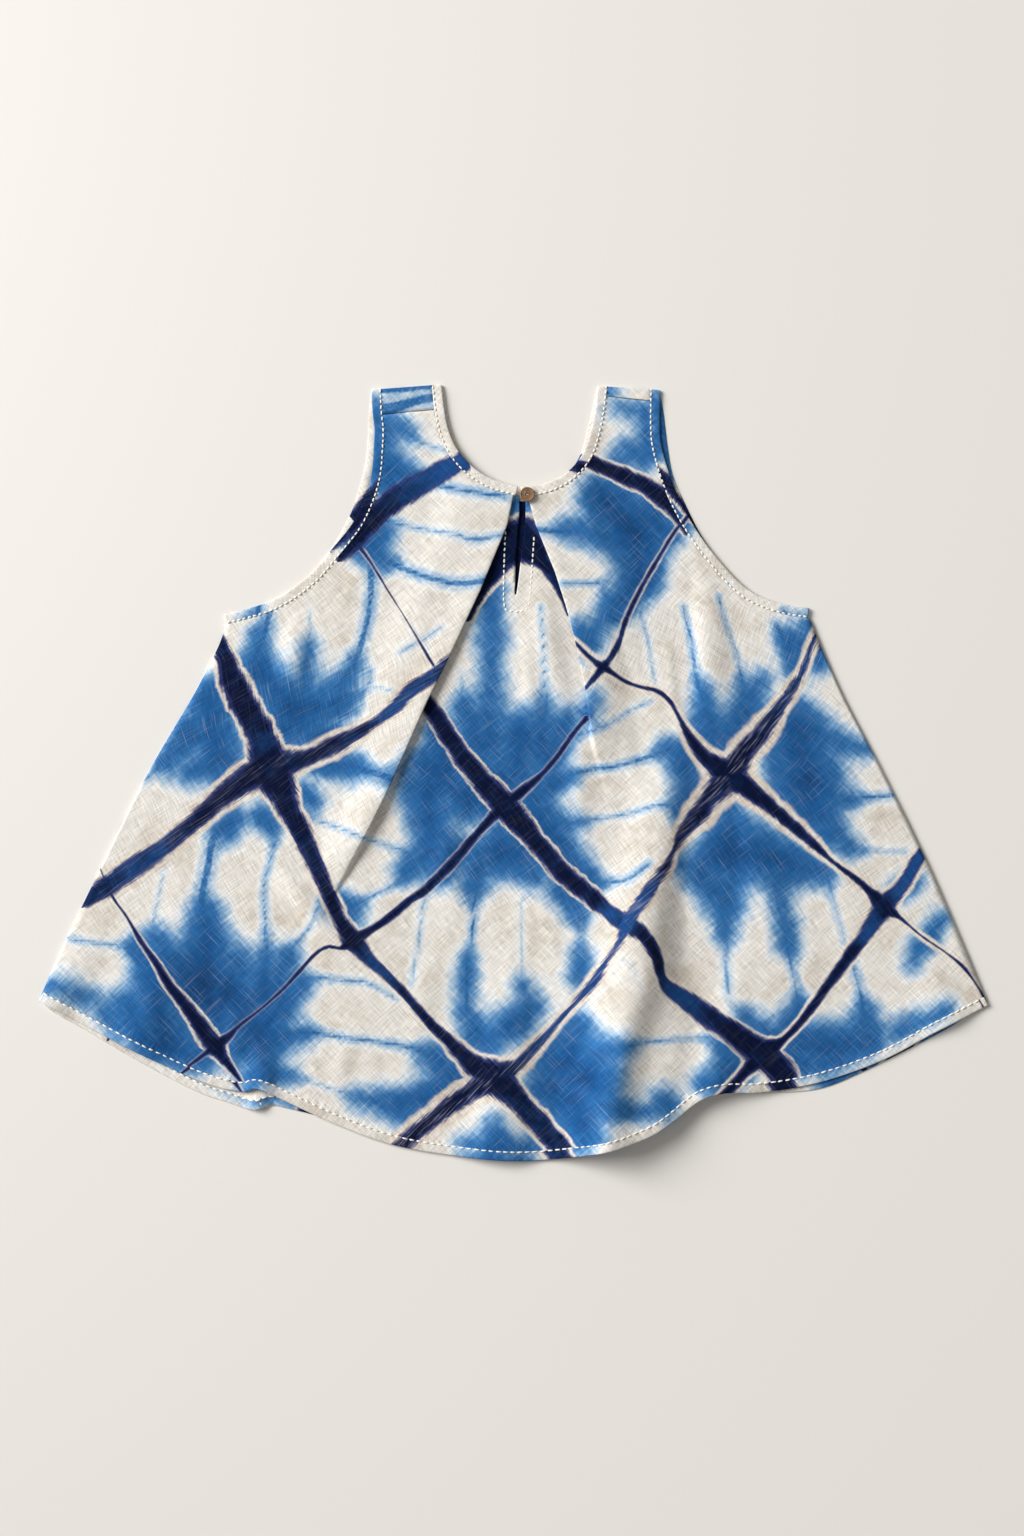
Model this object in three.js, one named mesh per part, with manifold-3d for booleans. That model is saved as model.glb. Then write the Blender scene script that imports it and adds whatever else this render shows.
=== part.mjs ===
// A loose tent-shaped tank top of cotton, laid flat on its back with the hem towards -Y and the neck towards +Y.
// Millimetres, +Z up. The underside of the back rests at z = 0.
import * as THREE from "three";
import { mergeVertices } from "three/addons/utils/BufferGeometryUtils.js";
import Module from "manifold-3d";

const wasm = await Module();
wasm.setup();

// Driving sizes
const CLOTH = 1.3; // wall of one layer
const LAYER = 1.7; // from the middle of one layer to the middle of the next
const FOLD_RADIUS = LAYER / 2; // middle of the cloth round a fold
const SEAM_GAP = 0.3; // between pieces that are sewn together
const BINDING_WIDTH = 8;
const BINDING_RISE = 0.3; // a binding is folded double, so it stands a little above the panel
const PANEL_INSET = BINDING_WIDTH + SEAM_GAP;
const BACK_Z = CLOTH / 2;
const FRONT_Z = BACK_Z + LAYER;
const HALF_SPAN = 412; // the sheets are this wide to each side before they are cut out
const HEM_LIMIT = -336;
const SHOULDER_LIMIT = 332;
const CENTRE_SHIFT = { x: -1.6, y: 0.2 }; // puts the middle of the laid-out top on the origin

// Outline of the front, each edge as it lies. x to the wearer's left as seen from above, y up to the neck.
const leftArmhole = [
  { x: -118, y: 321 }, { x: -116.9, y: 301 }, { x: -115.4, y: 288 }, { x: -115.8, y: 275 },
  { x: -118.9, y: 245 }, { x: -131.9, y: 212 }, { x: -150.4, y: 188 }, { x: -171.4, y: 164 },
  { x: -200.3, y: 144.5 }, { x: -230.2, y: 135 }, { x: -241.5, y: 132.5 },
];
const rightArmhole = [
  { x: 124.3, y: 321 }, { x: 123.9, y: 292 }, { x: 125.2, y: 275 }, { x: 135.1, y: 241.5 },
  { x: 149.3, y: 212 }, { x: 171.8, y: 180 }, { x: 199.9, y: 152 }, { x: 227.6, y: 141 },
  { x: 249.5, y: 137.5 },
];
const neckLeftHalf = [
  { x: 5.3, y: 239.3 }, { x: -18.5, y: 246.5 }, { x: -35.3, y: 258 }, { x: -46.8, y: 272 },
  { x: -53.8, y: 289 }, { x: -57.3, y: 308 }, { x: -59, y: 325 },
];
const neckRightHalf = [
  { x: 7.1, y: 239.2 }, { x: 23.5, y: 241 }, { x: 38.6, y: 246.5 }, { x: 51.2, y: 256 },
  { x: 60.5, y: 269 }, { x: 66.5, y: 288 }, { x: 70.2, y: 308 }, { x: 71.7, y: 324.2 },
];
const leftSide = [
  { x: -241.5, y: 124 }, { x: -242.4, y: 116 }, { x: -262.1, y: 73.9 }, { x: -304.1, y: 1.7 },
  { x: -346.1, y: -82.3 }, { x: -378, y: -149 }, { x: -396.6, y: -191.5 },
];
const rightSide = [
  { x: 250, y: 129 }, { x: 254.3, y: 117.6 }, { x: 275.5, y: 68 }, { x: 310, y: 1.7 },
  { x: 351.1, y: -82.3 }, { x: 383.9, y: -158 }, { x: 399.6, y: -195.5 },
];
const frontHem = [
  { x: -396.6, y: -191.8 }, { x: -351, y: -216.7 }, { x: -304, y: -240.5 }, { x: -262.1, y: -259.5 },
  { x: -236, y: -267.1 }, { x: -223, y: -268 }, { x: -215.5, y: -265.4 }, { x: -208, y: -267.4 },
  { x: -187.3, y: -277.6 }, { x: -147.8, y: -295.7 }, { x: -98.3, y: -313.3 }, { x: -26.9, y: -324.2 },
  { x: 23.5, y: -325.9 }, { x: 60, y: -320.5 }, { x: 90.7, y: -313.3 }, { x: 120, y: -302 },
  { x: 136.1, y: -291.5 }, { x: 157.9, y: -274.6 }, { x: 174.7, y: -269.3 }, { x: 208.3, y: -268.8 },
  { x: 258.7, y: -260.4 }, { x: 315, y: -240.2 }, { x: 359.5, y: -216 }, { x: 399.6, y: -196 },
];

// Outline of the back where it shows past the front, and finished plainly where it doesn't.
const backLeftArmhole = [
  { x: -118, y: 321 }, { x: -120.1, y: 300 }, { x: -121, y: 280 }, { x: -122.6, y: 262 },
  { x: -128.5, y: 237 }, { x: -137.8, y: 212 }, { x: -155, y: 183 }, { x: -173, y: 162.5 },
  { x: -200.3, y: 144.5 }, { x: -230.2, y: 135 }, { x: -241.5, y: 132.5 },
];
const backRightArmhole = [
  { x: 124.3, y: 321 }, { x: 127.5, y: 300 }, { x: 130.5, y: 275 }, { x: 135, y: 250 },
  { x: 146, y: 224 }, { x: 160.5, y: 196 }, { x: 175, y: 176.5 }, { x: 199.9, y: 152 },
  { x: 227.6, y: 141 }, { x: 249.5, y: 137.5 },
];
const backNeck = [
  { x: -59, y: 325 }, { x: -55.5, y: 308 }, { x: -50.6, y: 289 }, { x: -44, y: 271 },
  { x: -35.3, y: 255.5 }, { x: -18.5, y: 243 }, { x: 6, y: 235.5 }, { x: 34, y: 240 },
  { x: 49, y: 253 }, { x: 58.5, y: 269 }, { x: 63.5, y: 288 }, { x: 68.3, y: 308 }, { x: 71.7, y: 324.2 },
];
const backHem = [
  { x: -396.6, y: -191.8 }, { x: -389, y: -199 }, { x: -357, y: -217.6 }, { x: -310, y: -245 },
  { x: -262.1, y: -269.6 }, { x: -239.4, y: -277.2 }, { x: -224, y: -282.2 }, { x: -213, y: -283.2 },
  { x: -203, y: -280 }, { x: -187, y: -283 }, { x: -147.8, y: -293 }, { x: -98.3, y: -307 },
  { x: -26.9, y: -317 }, { x: 23.5, y: -318 }, { x: 90, y: -305 }, { x: 136, y: -286 },
  { x: 175, y: -271 }, { x: 208.3, y: -270 }, { x: 258.7, y: -266 }, { x: 292.3, y: -253 },
  { x: 333.9, y: -232.5 }, { x: 364.6, y: -216.5 }, { x: 399.6, y: -197 },
];

// Shoulder folds (the top of each strap) and the seams where the back meets the front.
const straps = [
  { outerX: -118, innerX: -59, foldOuter: 321, foldInner: 325.5, seamOuter: 299, seamInner: 304.6 },
  { outerX: 124.3, innerX: 71.7, foldOuter: 321, foldInner: 324.2, seamOuter: 310.5, seamInner: 315.8 },
];

// The inverted box pleat. x is the fold's edge, lap how far the cloth runs back under it, radius how
// tightly it folds, and turn the angle through which it folds: 180 is pressed flat, near 0 no fold is left.
const leftFold = [
  { y: 240, x: 2.6, lap: 34, turn: 180, radius: FOLD_RADIUS },
  { y: 207, x: -4.2, lap: 36, turn: 180, radius: FOLD_RADIUS },
  { y: 152, x: -26.9, lap: 36, turn: 180, radius: FOLD_RADIUS },
  { y: 91, x: -55.4, lap: 30, turn: 180, radius: FOLD_RADIUS },
  { y: 59, x: -71.4, lap: 22, turn: 180, radius: FOLD_RADIUS },
  { y: 20, x: -88.5, lap: 10, turn: 180, radius: FOLD_RADIUS },
  { y: -12, x: -102.5, lap: 4, turn: 170, radius: FOLD_RADIUS },
  { y: -57, x: -124.3, lap: 1.5, turn: 95, radius: 1.3 },
  { y: -95, x: -142, lap: 2, turn: 35, radius: 4 },
  { y: -150, x: -165, lap: 2, turn: 5, radius: 6 },
];
const rightFold = [
  { y: 240, x: 11, lap: 34, turn: 180, radius: FOLD_RADIUS },
  { y: 207, x: 20.2, lap: 36, turn: 180, radius: FOLD_RADIUS },
  { y: 168, x: 36.1, lap: 36, turn: 180, radius: FOLD_RADIUS },
  { y: 139, x: 45.4, lap: 34, turn: 180, radius: FOLD_RADIUS },
  { y: 118, x: 51.2, lap: 26, turn: 180, radius: FOLD_RADIUS },
  { y: 90, x: 57.3, lap: 14, turn: 180, radius: FOLD_RADIUS },
  { y: 68, x: 61.8, lap: 4, turn: 170, radius: FOLD_RADIUS },
  { y: 40, x: 65.5, lap: 1.5, turn: 90, radius: 1.3 },
  { y: 8, x: 70, lap: 2, turn: 30, radius: 4 },
  { y: -40, x: 74, lap: 2, turn: 5, radius: 6 },
];
const WING_SHELF = 4; // how far past the lap's end the wing stays up
const WING_SLOPE = 34; // then it comes down to the back over this length
const WING_COLUMNS = [0, 0.11, 0.22, 0.33, 0.44, 0.54, 0.63, 0.7, 0.76, 0.8, 0.84, 0.88, 0.92, 0.96]; // side to fold

// Soft ridges in the front, from a start to an end, with half widths and height at the end. Away from the
// light, on its right, a ridge comes down over lee times its half width. One with fade 1 dies away again.
const frontRidges = [
  { name: "great flute", x0: 130, y0: 70, x1: 84, y1: -305, w0: 16, w1: 56, lee: 1.55, height: 15, fade: 0 },
  { name: "flute's lee", x0: 140, y0: 110, x1: 84, y1: -310, w0: 30, w1: 46, lee: 4.2, height: 8.5, fade: 0 },
  { name: "right shoulder", x0: 172, y0: -150, x1: 172, y1: -305, w0: 24, w1: 42, lee: 1.3, height: 6, fade: 0 },
  { name: "left hem curl", x0: -205, y0: -215, x1: -214, y1: -284, w0: 14, w1: 22, lee: 1, height: 8, fade: 0 },
  { name: "left diagonal", x0: -215, y0: -62, x1: -118, y1: -172, w0: 12, w1: 18, lee: 1, height: 5, fade: 1 },
  { name: "middle wave", x0: 12, y0: -60, x1: -12, y1: -322, w0: 18, w1: 44, lee: 0.9, height: 6.5, fade: 0 },
  { name: "left wave", x0: -262, y0: -70, x1: -318, y1: -235, w0: 20, w1: 36, lee: 1, height: 4, fade: 0 },
  { name: "left corner", x0: -335, y0: -120, x1: -392, y1: -200, w0: 18, w1: 30, lee: 1, height: 5, fade: 0 },
  { name: "right corner", x0: 330, y0: -130, x1: 368, y1: -214, w0: 20, w1: 34, lee: 1, height: 4, fade: 0 },
  { name: "right underarm", x0: 158, y0: 185, x1: 172, y1: 20, w0: 12, w1: 26, lee: 1.4, height: 5, fade: 1 },
  { name: "left underarm", x0: -178, y0: 150, x1: -190, y1: 40, w0: 12, w1: 22, lee: 1, height: 3, fade: 1 },
];
const backRidges = [
  { name: "left hem curl", x0: -207, y0: -240, x1: -214, y1: -284, w0: 10, w1: 15, lee: 1, height: 4.5, fade: 0 },
];

// The keyhole slit through the pleat's underlay.
const slit = [
  { x: 5.9, y: 236 }, { x: 6.2, y: 220 }, { x: 5.5, y: 208.7 }, { x: 4.2, y: 195 }, { x: 2.3, y: 150 },
  { x: 2.6, y: 145.7 }, { x: 3.6, y: 149 }, { x: 9.4, y: 195 }, { x: 11, y: 207 }, { x: 11.4, y: 220 },
  { x: 11, y: 236 },
];

const button = { x: 12.7, y: 232.3, radius: 6.3, thickness: 3, rimWidth: 1.3, dish: 0.7, eyeRadius: 1.3 };

// Smooth curves and steps
const mix = (a, b, t) => a + (b - a) * t;
const smooth = (a, b, v) => {
  const t = Math.min(1, Math.max(0, (v - a) / (b - a)));
  return t * t * (3 - 2 * t);
};

const throughPoints = (points, steps) =>
  new THREE.CatmullRomCurve3(
    points.map((p) => new THREE.Vector3(p.x, p.y, 0)),
    false,
    "centripetal",
  ).getSpacedPoints(steps);

// Moves a curve sideways by a distance, to the side that holds the point inside.
function offsetCurve(curve, distance, inside) {
  const middle = curve[Math.floor(curve.length / 2)];
  const along = curve[Math.floor(curve.length / 2) + 1].clone().sub(middle);
  const side = Math.sign(-along.y * (inside.x - middle.x) + along.x * (inside.y - middle.y));
  return curve.map((p, i) => {
    const before = curve[Math.max(0, i - 1)];
    const after = curve[Math.min(curve.length - 1, i + 1)];
    const run = after.clone().sub(before).normalize();
    return new THREE.Vector3(p.x - run.y * side * distance, p.y + run.x * side * distance, 0);
  });
}

// A value from a table of rows that is read down y, eased between rows.
function readTable(table, key, y) {
  if (y >= table[0].y) return table[0][key];
  const last = table[table.length - 1];
  if (y <= last.y) return last[key];
  const i = table.findIndex((row) => row.y < y);
  const above = table[i - 1];
  const below = table[i];
  return mix(above[key], below[key], (above.y - y) / (above.y - below.y));
}

// Height of the soft ridges over a point.
function ridgeHeight(ridges, x, y) {
  return ridges.reduce((total, r) => {
    const dx = r.x1 - r.x0;
    const dy = r.y1 - r.y0;
    const length = Math.hypot(dx, dy);
    const t = ((x - r.x0) * dx + (y - r.y0) * dy) / (length * length);
    const left = ((x - r.x0) * dy - (y - r.y0) * dx) / length;
    const off = Math.abs(left);
    const width = mix(r.w0, r.w1, Math.min(1, Math.max(0, t))) * (left < 0 ? r.lee : 1);
    if (t <= 0 || off >= width) return total;
    const rise = r.fade ? Math.sin(Math.PI * Math.min(1, t)) ** 2 : smooth(0, 1.15, t) / smooth(0, 1.15, 1);
    return total + r.height * rise * Math.cos((Math.PI / 2) * (off / width)) ** 2;
  }, 0);
}

// The pleat's fold on one side of a row, and how much higher its wing lies than the underlay.
function foldAt(table, y) {
  const turn = THREE.MathUtils.degToRad(readTable(table, "turn", y));
  const lap = readTable(table, "lap", y);
  const radius = readTable(table, "radius", y);
  const rise = 2 * radius * (1 - Math.cos(turn)) + lap * Math.sin(turn);
  return { x: readTable(table, "x", y), lap, turn, radius, rise };
}

// The wing's middle height at x, where side is -1 for the left wing and 1 for the right.
function wingHeight(fold, side, x) {
  const away = (x - fold.x) * side - fold.lap - WING_SHELF;
  return FRONT_Z + fold.rise * (1 - smooth(0, WING_SLOPE, away));
}

// One half of a row across the front: wing, fold, return and fold back, towards the middle.
function halfRow(table, side, y) {
  const ARC_STEPS = 3;
  const fold = foldAt(table, y);
  const edge = fold.x + side * fold.radius;
  const row = WING_COLUMNS.map((share) => {
    const x = mix(side * HALF_SPAN, edge, share);
    return { x, z: wingHeight(fold, side, x) };
  });
  const top = FRONT_Z + fold.rise;
  for (let i = 0; i <= ARC_STEPS; i += 1) {
    const a = (fold.turn * i) / ARC_STEPS;
    row.push({ x: edge - side * fold.radius * Math.sin(a), z: top - fold.radius * (1 - Math.cos(a)) });
  }
  const turned = row[row.length - 1];
  const end = {
    x: turned.x - side * fold.lap * Math.cos(fold.turn),
    z: turned.z - fold.lap * Math.sin(fold.turn),
  };
  row.push({ x: (turned.x + end.x) / 2, z: (turned.z + end.z) / 2 });
  const centre = {
    x: end.x - side * fold.radius * Math.sin(fold.turn),
    z: end.z + fold.radius * Math.cos(fold.turn),
  };
  for (let i = 0; i <= ARC_STEPS; i += 1) {
    const a = fold.turn * (1 - i / ARC_STEPS);
    row.push({ x: centre.x + side * fold.radius * Math.sin(a), z: centre.z - fold.radius * Math.cos(a) });
  }
  return row;
}

// The middle surface of the front, in rows from the hem to the shoulders.
function frontRows() {
  const ROWS = 38;
  const UNDERLAY_COLUMNS = 8;
  const rows = [];
  for (let j = 0; j <= ROWS; j += 1) {
    const y = mix(HEM_LIMIT, SHOULDER_LIMIT, j / ROWS);
    const left = halfRow(leftFold, -1, y);
    const right = halfRow(rightFold, 1, y).reverse();
    const from = left[left.length - 1];
    const to = right[0];
    const middle = [];
    for (let i = 1; i < UNDERLAY_COLUMNS; i += 1) {
      middle.push({ x: mix(from.x, to.x, i / UNDERLAY_COLUMNS), z: FRONT_Z });
    }
    rows.push(
      [...left, ...middle, ...right].map((p) => new THREE.Vector3(p.x, y, p.z + ridgeHeight(frontRidges, p.x, y))),
    );
  }
  return rows;
}

// Height of the front's upper layer at a point: the wings, and their height carried across the gap between.
function frontTop(x, y) {
  const left = foldAt(leftFold, y);
  const right = foldAt(rightFold, y);
  const side = x < (left.x + right.x) / 2 ? -1 : 1;
  return wingHeight(side < 0 ? left : right, side, x) + ridgeHeight(frontRidges, x, y);
}

// The y of a strap's fold or seam at x.
const strapLine = (strap, line, x) => {
  const t = (x - strap.outerX) / (strap.innerX - strap.outerX);
  return mix(strap[`${line}Outer`], strap[`${line}Inner`], Math.min(1.2, Math.max(-0.2, t)));
};
const strapAt = (x) => (x < 6 ? straps[0] : straps[1]);

// The middle surface of the back: flat from the hem up, over the shoulder fold and down to the seam.
function backRows() {
  const EVEN_COLUMNS = 30;
  const CURL_COLUMNS = [-227, -220.5, -207.5, -201];
  const FLAT_ROWS = 30;
  const FOLD_STEPS = 4;
  const reach = CLOTH / 2 + FOLD_RADIUS;
  const column = (x) => {
    const strap = strapAt(x);
    const foldY = strapLine(strap, "fold", x) - reach;
    const seamY = strapLine(strap, "seam", x) + SEAM_GAP;
    const points = [];
    for (let j = 0; j < FLAT_ROWS; j += 1) {
      const y = mix(HEM_LIMIT, foldY, j / FLAT_ROWS);
      points.push(new THREE.Vector3(x, y, BACK_Z + ridgeHeight(backRidges, x, y)));
    }
    for (let j = 0; j <= FOLD_STEPS; j += 1) {
      const a = (Math.PI * j) / FOLD_STEPS;
      points.push(
        new THREE.Vector3(x, foldY + FOLD_RADIUS * Math.sin(a), BACK_Z + FOLD_RADIUS * (1 - Math.cos(a))),
      );
    }
    points.push(new THREE.Vector3(x, seamY, FRONT_Z));
    return points;
  };
  const even = Array.from({ length: EVEN_COLUMNS + 1 }, (_, i) => mix(-HALF_SPAN, HALF_SPAN, i / EVEN_COLUMNS));
  const columns = [...even, ...CURL_COLUMNS].sort((a, b) => a - b).map(column);
  return columns[0].map((_, j) => columns.map((points) => points[j]));
}

// Closed walls from a grid of points and the normals there, half the thickness to each side.
function wallSolid(rows, normals, thickness) {
  const across = rows[0].length;
  const count = rows.length * across;
  const vertProperties = new Float32Array(count * 6);
  rows.flat().forEach((p, i) => {
    const n = normals.flat()[i];
    const up = p.clone().addScaledVector(n, thickness / 2);
    const down = p.clone().addScaledVector(n, -thickness / 2);
    vertProperties.set([up.x, up.y, up.z], i * 3);
    vertProperties.set([down.x, down.y, down.z], (i + count) * 3);
  });
  const tris = [];
  const quad = (a, b, c, d) => tris.push([a, b, c], [a, c, d]);
  for (let j = 0; j < rows.length - 1; j += 1) {
    for (let i = 0; i < across - 1; i += 1) {
      const a = j * across + i;
      quad(a, a + 1, a + 1 + across, a + across);
      quad(count + a, count + a + across, count + a + 1 + across, count + a + 1);
    }
  }
  const last = (rows.length - 1) * across;
  for (let i = 0; i < across - 1; i += 1) {
    quad(i, count + i, count + i + 1, i + 1);
    quad(last + i, last + i + 1, count + last + i + 1, count + last + i);
  }
  for (let j = 0; j < rows.length - 1; j += 1) {
    const a = j * across;
    const b = a + across - 1;
    quad(a, a + across, count + a + across, count + a);
    quad(b, count + b, count + b + across, b + across);
  }
  return solidFrom(vertProperties, new Uint32Array(tris.flat()));
}

function solidFrom(vertProperties, triVerts) {
  return new wasm.Manifold(new wasm.Mesh({ numProp: 3, vertProperties, triVerts }));
}

// Normals of a grid from its rows' own cross-sections, so that a fold keeps its wall.
function rowNormals(rows, axis) {
  return rows.map((row) =>
    row.map((p, i) => {
      const run = row[Math.min(row.length - 1, i + 1)].clone().sub(row[Math.max(0, i - 1)]);
      return axis === "x"
        ? new THREE.Vector3(-run.z, 0, run.x).normalize()
        : new THREE.Vector3(0, -run.z, run.y).normalize();
    }),
  );
}

// An upright block over an outline.
function upright(outline, bottom, top) {
  const shape = new THREE.Shape(outline.map((p) => new THREE.Vector2(p.x, p.y)));
  const block = new THREE.ExtrudeGeometry(shape, { depth: top - bottom, bevelEnabled: false });
  block.translate(0, 0, bottom);
  return solidOf(block);
}

function solidOf(geometry) {
  geometry.deleteAttribute("normal");
  geometry.deleteAttribute("uv");
  const merged = mergeVertices(geometry, 1e-4);
  return solidFrom(new Float32Array(merged.attributes.position.array), new Uint32Array(merged.index.array));
}

function meshOf(name, solid, material) {
  const data = solid.getMesh();
  const geometry = new THREE.BufferGeometry();
  geometry.setAttribute("position", new THREE.BufferAttribute(new Float32Array(data.vertProperties), 3));
  geometry.setIndex(new THREE.BufferAttribute(new Uint32Array(data.triVerts), 1));
  geometry.computeVertexNormals();
  const mesh = new THREE.Mesh(geometry, material);
  mesh.name = name;
  return mesh;
}

const cloth = (color) => new THREE.MeshStandardMaterial({ color, roughness: 0.9, metalness: 0, flatShading: true });

// Curves of the edges
const EDGE_STEPS = 26;
const NECK_STEPS = 18;
const insidePoint = { x: 0, y: 100 };
const curves = {
  leftArmhole: throughPoints(leftArmhole, EDGE_STEPS),
  rightArmhole: throughPoints(rightArmhole, EDGE_STEPS),
  backLeftArmhole: throughPoints(backLeftArmhole, EDGE_STEPS),
  backRightArmhole: throughPoints(backRightArmhole, EDGE_STEPS),
  neckLeft: throughPoints(neckLeftHalf, NECK_STEPS),
  neckRight: throughPoints(neckRightHalf, NECK_STEPS),
  backNeck: throughPoints(backNeck, NECK_STEPS * 2),
  leftSide: throughPoints(leftSide, 12),
  rightSide: throughPoints(rightSide, 12),
  frontHem: throughPoints(frontHem, 72),
  backHem: throughPoints(backHem, 60),
};
const strapMiddle = { left: { x: -88, y: 300 }, right: { x: 98, y: 300 } };
const inset = (curve, distance, inside) => offsetCurve(curve, distance, inside);

// The front panel's outline, from the left armhole round by the hem and the right armhole to the neck.
function frontOutline() {
  return [
    ...inset(curves.leftArmhole, PANEL_INSET, insidePoint),
    ...curves.leftSide.slice(1),
    ...curves.frontHem.slice(1),
    ...[...curves.rightSide].reverse().slice(1, -1),
    ...inset(curves.rightArmhole, PANEL_INSET, insidePoint).reverse(),
    ...inset(curves.neckRight, PANEL_INSET, strapMiddle.right).reverse(),
    ...inset(curves.neckLeft, PANEL_INSET, strapMiddle.left),
  ];
}

// What lies past a shoulder seam, where the back takes over from the front.
function pastSeam(strap) {
  const corner = (x) => ({ x, y: strapLine(strap, "seam", x) });
  return upright(
    [corner(strap.outerX), corner(strap.innerX), { x: strap.innerX, y: 340 }, { x: strap.outerX, y: 340 }],
    -5,
    60,
  );
}

function frontPanel() {
  const rows = frontRows();
  return wallSolid(rows, rowNormals(rows, "x"), CLOTH)
    .intersect(upright(frontOutline(), -5, 60))
    .subtract(pastSeam(straps[0]))
    .subtract(pastSeam(straps[1]))
    .subtract(upright(slit, 1, FRONT_Z + FOLD_RADIUS));
}

// The back panel's outline, open past the folds at the shoulders.
function backOutline() {
  const leftArm = inset(curves.backLeftArmhole, PANEL_INSET, insidePoint);
  const rightArm = inset(curves.backRightArmhole, PANEL_INSET, insidePoint);
  const neck = inset(curves.backNeck, PANEL_INSET, insidePoint);
  return [
    { x: leftArm[0].x, y: SHOULDER_LIMIT },
    ...leftArm,
    ...curves.leftSide.slice(1),
    ...curves.backHem.slice(1),
    ...[...curves.rightSide].reverse().slice(1, -1),
    ...[...rightArm].reverse(),
    { x: rightArm[0].x, y: SHOULDER_LIMIT },
    { x: neck[neck.length - 1].x, y: SHOULDER_LIMIT },
    ...[...neck].reverse(),
    { x: neck[0].x, y: SHOULDER_LIMIT },
  ];
}

// Room for the bindings beside the flap that the back folds over onto the front.
function bindingRoom(curve, inside) {
  const OUTWARD = 6;
  return upright(
    [...offsetCurve(curve, PANEL_INSET, inside), ...offsetCurve(curve, -OUTWARD, inside).reverse()],
    BACK_Z + FOLD_RADIUS,
    20,
  );
}

function backPanel() {
  const rows = backRows();
  const columnsFirst = rows[0].map((_, i) => rows.map((row) => row[i]));
  const normals = rowNormals(columnsFirst, "y");
  const byRow = rows.map((_, j) => normals.map((column) => column[j]));
  return wallSolid(rows, byRow, CLOTH)
    .intersect(upright(backOutline(), -5, 60))
    .subtract(bindingRoom(curves.leftArmhole, insidePoint))
    .subtract(bindingRoom(curves.rightArmhole, insidePoint))
    .subtract(bindingRoom(curves.neckLeft, strapMiddle.left))
    .subtract(bindingRoom(curves.neckRight, strapMiddle.right));
}

// Stations of a binding along one edge on the front or the back. Each holds the outer and inner
// edge of the strip and the way out of the cloth.
function edgeStations(curve, inside, heightAt, out) {
  const inner = offsetCurve(curve, BINDING_WIDTH, inside);
  return curve.map((p, i) => ({
    outer: new THREE.Vector3(p.x, p.y, heightAt(p.x, p.y)),
    inner: new THREE.Vector3(inner[i].x, inner[i].y, heightAt(inner[i].x, inner[i].y)),
    normal: new THREE.Vector3(0, 0, out),
  }));
}

// Stations of a binding round the top of a strap, from the front down to the back.
function foldStations(outerX, innerX) {
  const STEPS = 5;
  const radius = (FRONT_Z + BINDING_RISE - BACK_Z) / 2;
  const place = (x, a) => {
    const y = strapLine(strapAt(x), "fold", x) - radius - CLOTH / 2;
    return new THREE.Vector3(x, y + radius * Math.sin(a), BACK_Z + radius * (1 + Math.cos(a)));
  };
  return Array.from({ length: STEPS + 1 }, (_, i) => {
    const a = (Math.PI * i) / STEPS;
    return {
      outer: place(outerX, a),
      inner: place(innerX, a),
      normal: new THREE.Vector3(0, Math.sin(a), Math.cos(a)),
    };
  });
}

// A binding as one closed strip through its stations.
function bindingSolid(stations) {
  const rows = stations.map((s) => [s.outer, s.inner]);
  const normals = stations.map((s) => [s.normal, s.normal]);
  const facing = new THREE.Vector3()
    .subVectors(rows[1][0], rows[0][0])
    .cross(new THREE.Vector3().subVectors(rows[0][1], rows[0][0]))
    .dot(stations[0].normal);
  return facing > 0
    ? wallSolid(rows.map((row) => [...row].reverse()), normals, CLOTH)
    : wallSolid(rows, normals, CLOTH);
}

const bindingTop = (x, y) => frontTop(x, y) + BINDING_RISE;
const bindingUnder = (x, y) => BACK_Z + ridgeHeight(backRidges, x, y);
const belowFold = (stations, limit) => stations.filter((s) => Math.max(s.outer.y, s.inner.y) < limit);

function armholeBinding(front, back) {
  const LIMIT = 317;
  const up = belowFold(edgeStations(front, insidePoint, bindingTop, 1), LIMIT).reverse();
  const down = belowFold(edgeStations(back, insidePoint, bindingUnder, -1), LIMIT);
  const top = edgeStations(front, insidePoint, bindingTop, 1)[0];
  return bindingSolid([...up, ...foldStations(top.outer.x, top.inner.x), ...down]);
}

function neckBinding() {
  const LIMIT = 319;
  const left = belowFold(edgeStations(curves.neckLeft, strapMiddle.left, bindingTop, 1), LIMIT);
  const right = belowFold(edgeStations(curves.neckRight, strapMiddle.right, bindingTop, 1), LIMIT);
  const back = belowFold(edgeStations(curves.backNeck, insidePoint, bindingUnder, -1), LIMIT);
  const leftTop = neckLeftHalf[neckLeftHalf.length - 1].x;
  const rightTop = neckRightHalf[neckRightHalf.length - 1].x;
  return bindingSolid([
    ...left,
    ...foldStations(leftTop, leftTop - BINDING_WIDTH),
    ...back,
    ...foldStations(rightTop, rightTop + BINDING_WIDTH).reverse(),
    ...right.reverse(),
  ]);
}

// The turned button: a raised rim, a dished face and one eye.
function buttonGeometry() {
  const { radius, thickness, rimWidth, dish, eyeRadius } = button;
  const section = [
    [eyeRadius, 0], [radius - 1, 0], [radius, 1], [radius, thickness - 0.6], [radius - 0.5, thickness],
    [radius - rimWidth, thickness], [radius - rimWidth - 0.6, thickness - dish],
    [eyeRadius + 1.4, thickness - dish], [eyeRadius + 0.9, thickness - dish + 0.35],
    [eyeRadius, thickness - dish], [eyeRadius, 0],
  ];
  const turned = new THREE.LatheGeometry(section.map(([r, h]) => new THREE.Vector2(r, h)), 32);
  turned.rotateX(Math.PI / 2);
  return turned;
}

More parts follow.
